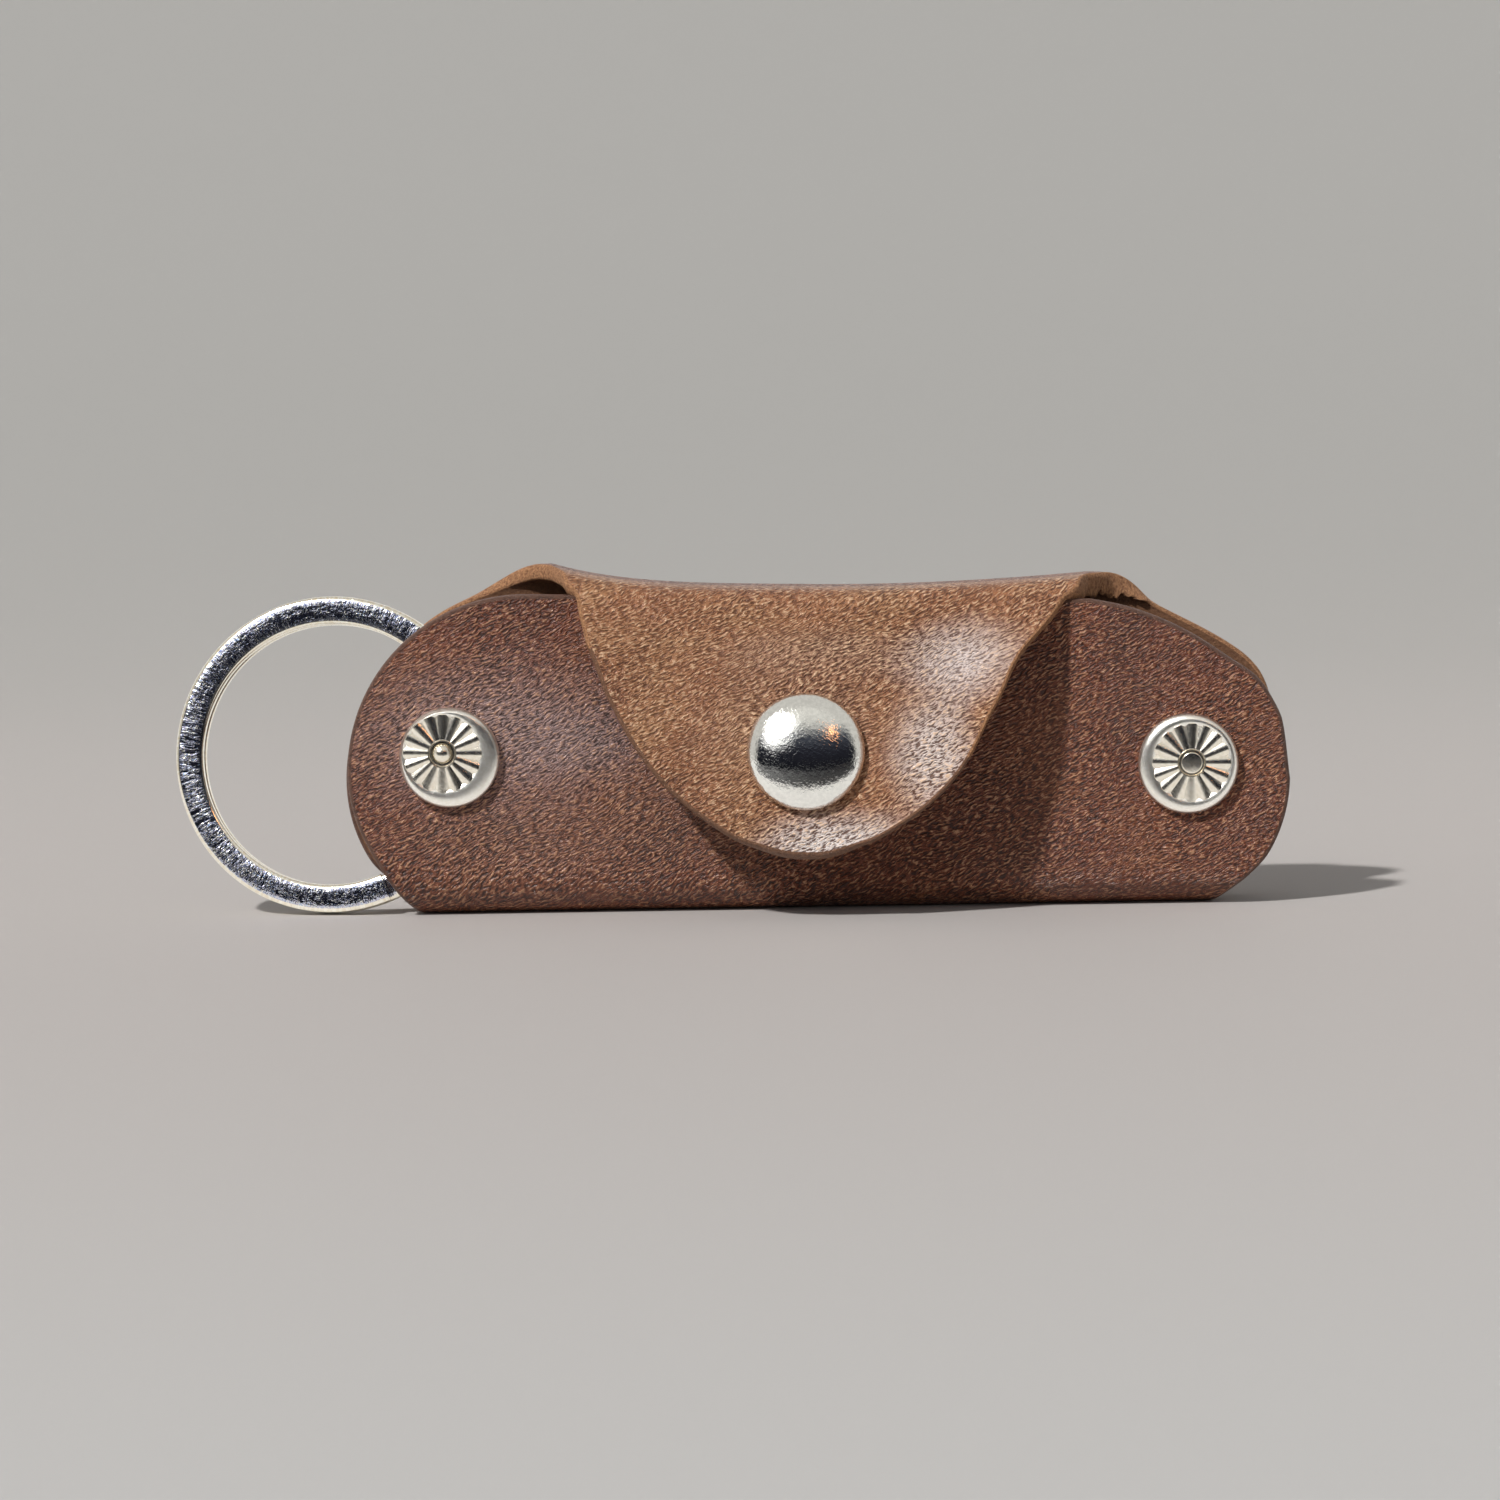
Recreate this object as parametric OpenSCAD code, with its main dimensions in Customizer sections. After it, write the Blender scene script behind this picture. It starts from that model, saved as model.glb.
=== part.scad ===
// Key case: one strip of thick leather folded into a pocket, with a flap that folds over
// the top and closes with a press stud, two fluted rivets through both walls, and a split
// ring that hangs on the left rivet. It stands on its bottom fold: +X is to the right,
// the flap and the press stud face -Y, +Z is up, and the origin is the middle of the fold.

/* [Leather] */
// Length of the case from end to end
case_length = 100.4; // [92:0.2:110]
// Height of a wall at the middle, from the surface it stands on
wall_height = 33.6; // [32.4:0.1:35.4]
// Thickness of the leather
leather_t = 1.7; // [1.4:0.05:2]
// Width of the pocket between the front and back walls
pocket_gap = 8; // [7.8:0.1:9]
// Width of the flat strip under the bottom fold
foot_w = 5; // [4:0.1:6]
// Height of the widest line of the rounded ends
end_height = 14.6; // [13.8:0.1:15.4]
// Radius of the lower part of a rounded end
end_low_r = 16.2; // [15.6:0.1:17.5]
// Tilt of the front wall against the fold, which the back wall has the other way
fold_skew = 1.4; // [0:0.1:2]

/* [Flap] */
// Width of the flap where it leaves the top fold
flap_w = 55.2; // [51:0.2:57]
// Width of the back wall's neck at the top fold
neck_w = 57.6; // [57:0.2:60]
// Radius of the flap's round tongue
tongue_r = 20; // [18:0.1:21.5]
// Height of the tongue's tip
tip_height = 6.6; // [4.6:0.1:8]
// Forward slope of the flap between the top fold and the press stud
flap_slope = 20; // [16:1:24]
// Outward curl of the tongue's tip
tip_curl = 34; // [26:1:40]

/* [Press stud] */
// Diameter of the domed cap
cap_d = 12.5; // [11.5:0.1:13.5]
// Height of the dome over the flap
cap_h = 2.9; // [2.4:0.1:3.6]
// Height of the press stud's centre
snap_height = 17.6; // [16.5:0.1:18.5]
// Distance of the press stud to the left of the middle
snap_side = 1.4; // [0:0.1:4]
// Diameter of the socket under the flap
socket_d = 10.8; // [10:0.1:12]
// Room between the front wall and the flap that the closed stud takes
snap_stack = 3.6; // [3.5:0.1:4.2]
// Radius of the stud's head
stud_head_r = 2.3; // [2.2:0.05:2.45]

/* [Rivets] */
// Diameter of a rivet's fluted head
rivet_d = 10.7; // [10:0.1:11.6]
// Distance of a rivet from the end of the case
rivet_inset = 10.9; // [9.8:0.1:11.6]
// Height of the rivets in the wall
rivet_height = 16.2; // [15.4:0.1:16.8]
// Radius of a rivet's pin
pin_r = 1.25; // [1.2:0.05:1.5]
// Distance of the ring's pin to the left of the middle of its head
pin_left = 0.8; // [0:0.1:0.9]
// Height of the ring's pin over the middle of its head
pin_up = 0.7; // [0:0.1:0.8]
// Number of flutes in a rivet head
flutes = 16; // [8:1:18]

/* [Split ring] */
// Outer diameter of the ring
ring_d = 34; // [33.4:0.1:34.6]
// Radial width of the flat wire
ring_wire_w = 3; // [2.7:0.1:3.3]
// Thickness of one coil of the wire
ring_wire_t = 1.4; // [1.2:0.05:1.4]
// Backward lean of the ring in the pocket
ring_lean = 9.5; // [0:0.5:9.5]
// Turn of the ring towards the left
ring_toe = 7; // [0:0.5:7]

/* [Hidden] */
$fn = 96;

// One overrun for every cut, and the clearances of the fits
over = 1;
fit_gap = 0.05;
seat_gap = 0.1;
// Angle of leather that one flat of a bend covers
bend_step = 15;

// Leather strip: its middle line goes round the pocket and over the top
wall_out = pocket_gap / 2 + leather_t;
wall_mid = (pocket_gap + leather_t) / 2;
half_length = case_length / 2;
end_up_r = wall_height - end_height;
bottom_bend = wall_mid - foot_w / 2;
top_mid = wall_height + seat_gap + leather_t / 2;
top_bend = 2.1;
fold_y = -0.6;
neck_set = 0.02;
neck_mid = wall_mid - neck_set;
back_run = neck_mid - top_bend - fold_y;

// Flap: over the top, down a slope, flat under the press stud, then the curl
slope_bend = 9;
curl_bend = 10;
seat_margin = 0.4;
flap_seat = wall_out + snap_stack;
flap_mid_seat = flap_seat + leather_t / 2;
seat_half = cap_d / 2 + seat_margin;
slope_drop = top_mid - snap_height - seat_half;
slope_run = (slope_drop - top_bend * (1 - sin(flap_slope)) - slope_bend * sin(flap_slope))
            / cos(flap_slope);
fold_run = flap_mid_seat + fold_y - top_bend * cos(flap_slope) - slope_run * sin(flap_slope)
           - slope_bend * (1 - cos(flap_slope));
tongue_z = tip_height + tongue_r;
tongue_side_share = 0.92;
tongue_touch_share = 0.38;
shoulder_side = 4.8;
shoulder_drop = 2.2;

// Press stud, with heights counted outwards from the front wall's face
barrel_r = 1.6;
barrel_roll_r = 2.3;
barrel_roll_t = 0.2;
post_flange_r = 4.6;
post_flange_t = 0.8;
stud_flange_r = 4.7;
stud_flange_t = 0.7;
stud_neck_r = 1.9;
stud_neck_rise = 0.5;
stud_neck_low = 1.2;
stud_neck_high = 2;
stud_top = 2.85;
stud_hollow = 1.9;
socket_floor_t = 0.4;
socket_low = 0.95;
socket_lip_t = 0.35;
socket_mouth_r = 3.25;
socket_groove_r = 4.2;
socket_groove_h = 0.75;
spring_wire_r = 0.28;
spring_set = 1.63;
cap_rim_r = 0.55;
cap_shoulder = 0.9;
snap_x = -snap_side;

// Rivets, with heights counted outwards from the leather
rivet_x = half_length - rivet_inset;
hole_r = pin_r + fit_gap;
rim_r = 0.85;
rim_set = 0.8;
head_base_t = 0.6;
dish_r = 3.95;
dish_low = 0.85;
hub_r = 1.75;
hub_high = 1.2;
tip_r = 1.15;
tip_low = 0.35;
left_tip_h = 1.75;
right_tip_h = 1.4;
flute_r = 0.24;
flute_in = 0.25;
cap_back_r = 4.5;
cap_back_h = 1.7;
cap_back_edge = 0.7;
pin_bite = 0.9;

// Split ring: its plane leans in the pocket, and its lowest point is on the ground
ring_r = ring_d / 2;
ring_hole_r = ring_r - ring_wire_w;
wire_corner = 0.35;
coil_seam = 0.08;
ring_play = 0.12;
ring_set_forward = 0.3;
ring_slack = ring_wire_t * (tan(ring_lean) + tan(ring_toe)) + ring_play;
ring_reach = ring_hole_r - pin_r - ring_slack;
ring_centre_z = (ring_r - wire_corner) * cos(ring_lean)
                + (ring_wire_t - wire_corner) * sin(ring_lean) + wire_corner;
left_pin = on_wall(-rivet_x - pin_left, rivet_height + pin_up);
ring_rise = asin((ring_centre_z - left_pin[1]) / (ring_reach * cos(ring_lean)));
ring_end_angle = -48;
ring_step_angle = 18;
ring_end_gap = 0.3;
ring_step_in = 0.7;

// Place of a point of the skewed front wall, as its X and Z on the case
function on_wall(x, z) = [x * cos(fold_skew) + z * sin(fold_skew),
                          z * cos(fold_skew) - x * sin(fold_skew)];

// Heading along a strip in Y and Z, from -Y at 0 and turning downwards, and its inner side
function heading(a) = [-cos(a), -sin(a)];
function inner(a) = [sin(a), -cos(a)];

// Middle line of a strip: each run is [length, 0] when straight or [radius, turn] in a bend
function walk(p, a, runs, i = 0) =
    i == len(runs) ? [[p, a]]
    : runs[i][1] == 0
        ? concat([[p, a]], walk(p + heading(a) * runs[i][0], a, runs, i + 1))
        : let (turn = runs[i][1], reach = runs[i][0] * sign(turn),
               steps = ceil(abs(turn) / bend_step), c = p + inner(a) * reach)
          concat([for (k = [0 : steps - 1]) let (b = a + turn * k / steps)
                      [c - inner(b) * reach, b]],
                 walk(c - inner(a + turn) * reach, a + turn, runs, i + 1));

// Outline of the leather on both sides of a middle line
function strip(line) = concat(
    [for (q = line) q[0] - inner(q[1]) * leather_t / 2],
    [for (i = [len(line) - 1 : -1 : 0]) line[i][0] + inner(line[i][1]) * leather_t / 2]);

// A profile in Y and Z drawn out along X, and an outline in X and Z drawn out along Y
module along_x(length) translate([-length / 2, 0, 0]) rotate([90, 0, 90])
    linear_extrude(length) children();
module along_y(front, back) translate([0, back, 0]) rotate([90, 0, 0])
    linear_extrude(back - front) children();

// Turn with the skewed fold, and face outwards at a place on the front wall
module skewed() rotate([0, fold_skew, 0]) children();
module at_wall(x, z, y) skewed() translate([x, y, z]) rotate([90, 0, 0]) children();
module at_back(x, z, y) skewed() translate([x, y, z]) rotate([-90, 0, 0]) children();

// Outline of a wall: low and high arcs at each end meet on the widest line
module wall_outline() {
    low_x = half_length - end_low_r;
    high_x = half_length - end_up_r;
    intersection() {
        union() {
            for (side = [-1, 1]) translate([side * low_x, end_height]) circle(end_low_r);
            translate([-low_x, end_height - end_low_r]) square([2 * low_x, end_low_r]);
        }
        translate([-half_length, end_height - 2 * end_low_r])
            square([case_length, 2 * end_low_r]);
    }
    intersection() {
        union() {
            for (side = [-1, 1]) translate([side * high_x, end_height]) circle(end_up_r);
            translate([-high_x, end_height]) square([2 * high_x, end_up_r]);
        }
        translate([-half_length, end_height]) square([case_length, 2 * end_up_r]);
    }
}

// Neck of the back wall, which widens into the wall below the top fold
module neck_outline() polygon([
    [-neck_w / 2 - shoulder_side, wall_height - shoulder_drop - over],
    [-neck_w / 2 - shoulder_side, wall_height - shoulder_drop],
    [-neck_w / 2, wall_height], [-neck_w / 2, top_mid + leather_t],
    [neck_w / 2, top_mid + leather_t], [neck_w / 2, wall_height],
    [neck_w / 2 + shoulder_side, wall_height - shoulder_drop],
    [neck_w / 2 + shoulder_side, wall_height - shoulder_drop - over]]);

// Outlines of the flap seen from the front: slanting sides that run into a round tongue
module tongue_outline() translate([snap_x / 2, tongue_z]) circle(tongue_r);
module flap_sides() {
    polygon([
        [-flap_w / 2, top_mid + leather_t], [flap_w / 2, top_mid + leather_t],
        [snap_x / 2 + tongue_r * tongue_side_share, tongue_z - tongue_r * tongue_touch_share],
        [snap_x / 2 - tongue_r * tongue_side_share, tongue_z - tongue_r * tongue_touch_share]]);
}

// Rounded cross-section of one coil of the ring, standing on its inner corner
module coil_section() {
    t = ring_wire_t - coil_seam / 2;
    for (x = [wire_corner, ring_wire_w - wire_corner], y = [wire_corner, t - wire_corner])
        translate([x, y]) circle(wire_corner, $fn = 24);
    translate([wire_corner, 0]) square([ring_wire_w - 2 * wire_corner, t]);
    translate([0, wire_corner]) square([ring_wire_w, t - 2 * wire_corner]);
}

// Strip of leather from the front wall's top, round the bottom and up to the top fold
module leather_wrap() color("#6b4a3c") difference() {
    union() {
        wall_runs = [[wall_height + over - bottom_bend - leather_t / 2, 0], [bottom_bend, 90],
                     [foot_w, 0], [bottom_bend, 90],
                     [wall_height - bottom_bend - leather_t / 2, 0]];
        intersection() {
            along_x(case_length + 2 * over)
                polygon(strip(walk([-wall_mid, wall_height + over], 90, wall_runs)));
            union() {
                rotate([0, fold_skew, 0]) along_y(-wall_out - over, foot_w / 4) wall_outline();
                rotate([0, -fold_skew, 0]) along_y(foot_w / 4, wall_out + over) wall_outline();
            }
        }
        skewed() intersection() {
            along_x(case_length)
                polygon(strip(walk([neck_mid, end_height], 270,
                                   [[top_mid - top_bend - end_height, 0], [top_bend, 90],
                                    [back_run, 0]])));
            along_y(fold_y, wall_out + over) neck_outline();
        }
    }
    at_wall(-rivet_x - pin_left, rivet_height + pin_up, wall_out + over)
        cylinder(r = hole_r, h = 2 * (wall_out + over));
    at_wall(rivet_x, rivet_height, wall_out + over) cylinder(r = hole_r, h = 2 * (wall_out + over));
    at_wall(snap_x, snap_height, 0) cylinder(r = barrel_r + fit_gap, h = wall_out + over);
}

// Flap: the front half of the top fold and the tongue that carries the cap and socket
module leather_flap() color("#8d6449") difference() {
    skewed() intersection() {
        along_x(case_length)
            polygon(strip(walk([fold_y, top_mid], 0,
                               [[fold_run, 0], [top_bend, 90 - flap_slope], [slope_run, 0],
                                [slope_bend, flap_slope], [2 * seat_half, 0],
                                [curl_bend, -tip_curl], [over, 0]])));
        union() {
            along_y(-2 * flap_seat, fold_y) tongue_outline();
            along_y(-2 * flap_seat, fold_y) flap_sides();
        }
    }
    at_wall(snap_x, snap_height, 0) cylinder(r = barrel_r + fit_gap, h = 2 * flap_seat);
}

// Domed cap, whose barrel goes through the flap and is rolled over inside the socket
module snap_cap() color("#cfd0d2") at_wall(snap_x, snap_height, -flap_seat - leather_t) {
    dome_x = cap_d / 2 - cap_rim_r;
    dome_h = cap_h - cap_shoulder;
    dome_r = (dome_x * dome_x + dome_h * dome_h) / (2 * dome_h);
    barrel_l = leather_t + socket_floor_t;
    rotate_extrude() {
        intersection() {
            translate([0, cap_h - dome_r]) circle(dome_r, $fn = 180);
            translate([0, cap_shoulder]) square([dome_x, cap_h]);
        }
        square([dome_x, cap_shoulder]);
        intersection() {
            translate([dome_x, cap_rim_r]) circle(cap_rim_r, $fn = 48);
            square([cap_d, cap_shoulder]);
        }
        translate([0, -barrel_l]) square([barrel_r, barrel_l]);
        translate([0, -barrel_l - barrel_roll_t]) square([barrel_roll_r, barrel_roll_t]);
    }
}

// Socket under the flap, open towards the stud, with a groove for its spring
module snap_socket() color("#b9b6ae") at_wall(snap_x, snap_height, -wall_out)
    rotate_extrude() {
        lip_top = socket_low + socket_lip_t;
        groove_top = lip_top + socket_groove_h;
        polygon([[barrel_r + fit_gap, snap_stack], [barrel_r + fit_gap, snap_stack - socket_floor_t],
                 [socket_mouth_r, snap_stack - socket_floor_t], [socket_mouth_r, groove_top],
                 [socket_groove_r, groove_top], [socket_groove_r, lip_top],
                 [socket_mouth_r, lip_top], [socket_mouth_r, socket_low],
                 [socket_d / 2, socket_low], [socket_d / 2, snap_stack]]);
    }

// Spring of the socket: one wire bent in a U, whose two legs grip the stud's neck
module snap_spring() color("#9a9a9a") at_wall(snap_x, snap_height, -wall_out)
    translate([0, 0, spring_set]) {
        leg_x = stud_neck_r + fit_gap + spring_wire_r;
        bow_r = socket_groove_r - spring_wire_r - fit_gap;
        leg_angle = acos(leg_x / bow_r);
        leg_y = bow_r * sin(leg_angle);
        for (side = [-1, 1]) translate([side * leg_x, leg_y, 0]) rotate([90, 0, 0])
            cylinder(r = spring_wire_r, h = 2 * leg_y, $fn = 24);
        rotate([0, 0, leg_angle]) rotate_extrude(angle = 180 - 2 * leg_angle)
            translate([bow_r, 0]) circle(spring_wire_r, $fn = 24);
    }

// Stud on the front wall, held by the rolled post inside its hollow head
module snap_stud() color("#b9b6ae") at_wall(snap_x, snap_height, -wall_out)
    rotate_extrude() {
        bore_r = barrel_r + fit_gap;
        head_r = (stud_top - stud_neck_high) / 2;
        polygon([[bore_r, 0], [stud_flange_r, 0], [stud_flange_r, stud_flange_t],
                 [stud_neck_r + stud_neck_rise, stud_flange_t],
                 [stud_neck_r, stud_neck_low], [stud_neck_r, stud_neck_high],
                 [stud_head_r - head_r, stud_neck_high], [stud_head_r - head_r, stud_top],
                 [0, stud_top], [0, stud_hollow], [bore_r, stud_hollow]]);
        translate([stud_head_r - head_r, stud_neck_high + head_r]) circle(head_r, $fn = 36);
    }

// Post of the stud: a flange in the pocket and a tube through the front wall
module snap_post() color("#b9b6ae")
    at_wall(snap_x, snap_height, -pocket_gap / 2 + post_flange_t) {
        cylinder(r = post_flange_r, h = post_flange_t);
        cylinder(r = barrel_r, h = post_flange_t + leather_t + stud_hollow - seat_gap);
    }

// Fluted head: a rolled rim, and inside it a dish of petals that is centred on the pin
module rivet_head(x, left, up) color("#c9c4b6") difference() {
    slope = atan2(hub_high - dish_low, dish_r - hub_r);
    union() {
        at_wall(x, rivet_height, -wall_out) rotate_extrude() {
            square([rivet_d / 2 - rim_r, head_base_t]);
            intersection() {
                translate([rivet_d / 2 - rim_r, rim_set]) circle(rim_r, $fn = 48);
                square([rivet_d, rim_set + rim_r]);
            }
        }
        at_wall(x - left, rivet_height + up, -wall_out) rotate_extrude()
            polygon([[0, 0], [dish_r, 0], [dish_r, dish_low], [hub_r, hub_high], [0, hub_high]]);
    }
    at_wall(x - left, rivet_height + up, -wall_out) {
        translate([0, 0, -over]) cylinder(r = hole_r, h = over + tip_low);
        cylinder(r = tip_r + fit_gap, h = hub_high + over);
        for (i = [0 : flutes - 1]) rotate([0, 0, 360 * i / flutes])
            translate([hub_r + flute_in, 0, hub_high]) rotate([0, 90 + slope, 0])
                cylinder(r = flute_r, h = dish_r - hub_r - flute_in, $fn = 24);
    }
}

// Pin: a round end that shows in the head, then the shank that the ring hangs on
module rivet_pin(x, left, up, tip_h) color("#c9c4b6")
    at_wall(x - left, rivet_height + up, -wall_out) {
        shank = 2 * wall_out + pin_bite;
        translate([0, 0, -shank]) cylinder(r = pin_r, h = shank + tip_low - fit_gap);
        cylinder(r = tip_r, h = tip_h);
    }

// Plain cap on the back, with a blind hole for the pin
module rivet_cap(x, left, up) color("#c9c4b6")
    at_back(x - left, rivet_height + up, wall_out) {
        dome_h = cap_back_h - cap_back_edge;
        dome_r = (cap_back_r * cap_back_r + dome_h * dome_h) / (2 * dome_h);
        difference() {
            rotate_extrude() {
                square([cap_back_r, cap_back_edge]);
                intersection() {
                    translate([0, cap_back_h - dome_r]) circle(dome_r, $fn = 180);
                    translate([0, cap_back_edge]) square([cap_back_r, cap_back_h]);
                }
            }
            translate([0, 0, -over]) cylinder(r = hole_r, h = over + pin_bite + fit_gap);
        }
    }

// Split ring: two turns of flat wire side by side, joined where one steps into the other
module split_ring() color("#c4c8d4")
    translate([left_pin[0], -ring_set_forward, left_pin[1]])
    rotate([90 - ring_lean, 0, -ring_toe])
    translate([-ring_reach * cos(ring_rise), ring_reach * sin(ring_rise), 0]) {
        gap_angle = ring_end_gap / ring_r * 180 / PI;
        turn = 360 - gap_angle;
        for (side = [0, 1]) mirror([0, 0, side])
            rotate([0, 0, ring_end_angle + gap_angle / 2 - side * ring_step_angle])
            rotate_extrude(angle = turn)
            translate([ring_hole_r, coil_seam / 2]) coil_section();
        rotate([0, 0, ring_end_angle - ring_step_angle + gap_angle])
            rotate_extrude(angle = ring_step_angle - 2 * gap_angle)
            translate([ring_hole_r + ring_step_in, -wire_corner])
            square([ring_wire_w - 2 * ring_step_in, 2 * wire_corner]);
    }

leather_wrap();
leather_flap();
snap_cap();
snap_socket();
snap_spring();
snap_stud();
snap_post();
rivet_head(-rivet_x, pin_left, pin_up);  // left_rivet_head
rivet_pin(-rivet_x, pin_left, pin_up, left_tip_h);  // left_rivet_pin
rivet_cap(-rivet_x, pin_left, pin_up);  // left_rivet_cap
rivet_head(rivet_x, 0, 0);  // right_rivet_head
rivet_pin(rivet_x, 0, 0, right_tip_h);  // right_rivet_pin
rivet_cap(rivet_x, 0, 0);  // right_rivet_cap
split_ring();
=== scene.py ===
import math

import bmesh
import bpy
import numpy as np
from mathutils import Matrix, Vector


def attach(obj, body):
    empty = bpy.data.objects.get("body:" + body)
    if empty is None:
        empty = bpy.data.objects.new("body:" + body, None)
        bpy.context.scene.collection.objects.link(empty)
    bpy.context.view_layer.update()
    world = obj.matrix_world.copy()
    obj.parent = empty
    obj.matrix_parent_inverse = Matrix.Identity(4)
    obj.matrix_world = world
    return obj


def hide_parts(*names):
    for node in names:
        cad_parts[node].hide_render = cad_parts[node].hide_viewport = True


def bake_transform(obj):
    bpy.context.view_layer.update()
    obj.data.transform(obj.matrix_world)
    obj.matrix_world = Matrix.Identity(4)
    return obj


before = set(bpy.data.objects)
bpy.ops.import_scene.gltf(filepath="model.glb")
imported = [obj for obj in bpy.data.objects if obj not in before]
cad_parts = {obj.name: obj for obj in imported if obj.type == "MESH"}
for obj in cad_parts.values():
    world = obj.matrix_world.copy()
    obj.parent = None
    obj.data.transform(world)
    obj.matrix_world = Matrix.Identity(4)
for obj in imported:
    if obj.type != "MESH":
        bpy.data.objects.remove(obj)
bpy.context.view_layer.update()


# Leather strip
# The case is one strip of waxed full-grain cowhide, cut by hand with its edges left as cut,
# and folded into a pocket with a flap. It is made here as two meshes that meet on the top
# fold, because the flap opens there.

# Sizes are in millimetres, and MM turns them to metres where a mesh gets its place. First
# the leather's thickness, how far its cut edge rounds and how square it stays (1 is round).
MM = 0.001
LEATHER_T = 1.7
EDGE_ROUND = 0.42
EDGE_BLUNT = 0.7
PATH_STEP = 0.05

# The top fold is skewed, and sags between a left and a right corner.
SKEW = math.radians(1.4)
FOLD_HALF = 28.7
CREST_SAG = 1.1
LEFT_RISE, LEFT_CURVE = 2.0, 4
RIGHT_RISE, RIGHT_CURVE = 1.6, 1.8

# The torn edge: how far it hangs out, its waves (depth, rate, start), and the spans of
# distance from the edge and of height over the middle line where it comes in.
TORN_REACH = 0.7
TORN_WAVES = ((0.28, 2.3, 0.7), (0.2, 5.1, 2.0), (0.12, 11.7, 0.0))
TORN_EDGE = (2.2, 0.6)
TORN_FLESH = (0.1, -0.6)


def smooth_between(low, high, value):
    """0 below low, 1 above high, and a smooth rise between them."""
    share = np.clip((value - low) / (high - low), 0, 1)
    return share * share * (3 - 2 * share)


def smooth_curve(knots, values, at):
    """A smooth curve through the knots that never overshoots them."""
    steps = np.diff(values) / np.diff(knots)
    before, after = steps[:-1], steps[1:]
    both = before + after
    middle = np.where(before * after > 0, 2 * before * after / (both - (both == 0)), 0)
    slopes = np.concatenate([[steps[0]], middle, [steps[-1]]])
    k = np.clip(np.searchsorted(knots, at) - 1, 0, len(knots) - 2)
    width = knots[k + 1] - knots[k]
    t = (at - knots[k]) / width
    return ((1 + 2 * t) * (1 - t) ** 2 * values[k] + t * (1 - t) ** 2 * width * slopes[k]
            + t * t * (3 - 2 * t) * values[k + 1] + t * t * (t - 1) * width * slopes[k + 1])


def strip_path(start, heading, runs, soften):
    """Middle line of the strip in Y and Z, as arrays of distance, place and outward normal.
    A run is (length, 0) or (radius, turn in degrees), and soften rounds where they meet."""
    lengths, turns = [], []
    for size, turn in runs:
        length = size if turn == 0 else size * math.radians(abs(turn))
        count = max(1, round(length / PATH_STEP))
        lengths += [length / count] * count
        turns += [math.radians(turn) / count] * count
    angle = math.radians(heading) + np.cumsum(turns)
    reach = round(3 * soften / PATH_STEP)
    kernel = np.exp(-0.5 * (np.arange(-reach, reach + 1) * PATH_STEP / soften) ** 2)
    angle = np.convolve(np.pad(angle, reach, mode="edge"), kernel / kernel.sum(), mode="valid")
    lengths = np.array(lengths)
    distance = np.concatenate([[0], np.cumsum(lengths)])
    y = start[0] - np.concatenate([[0], np.cumsum(lengths * np.cos(angle))])
    z = start[1] - np.concatenate([[0], np.cumsum(lengths * np.sin(angle))])
    angle = np.concatenate([[angle[0]], angle])
    return {"s": distance, "y": y, "z": z, "ny": -np.sin(angle), "nz": np.cos(angle)}


def on_path(path, s, height):
    """Y and Z of points at distances s along a path and heights over its middle line."""
    y, z, ny, nz = (np.interp(s, path["s"], path[k]) for k in ("y", "z", "ny", "nz"))
    size = np.hypot(ny, nz)
    return y + height * ny / size, z + height * nz / size


def face_outwards(obj):
    """Turns every face of a closed mesh outwards."""
    work = bmesh.new()
    work.from_mesh(obj.data)
    bmesh.ops.recalc_face_normals(work, faces=work.faces)
    work.to_mesh(obj.data)
    work.free()


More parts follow.
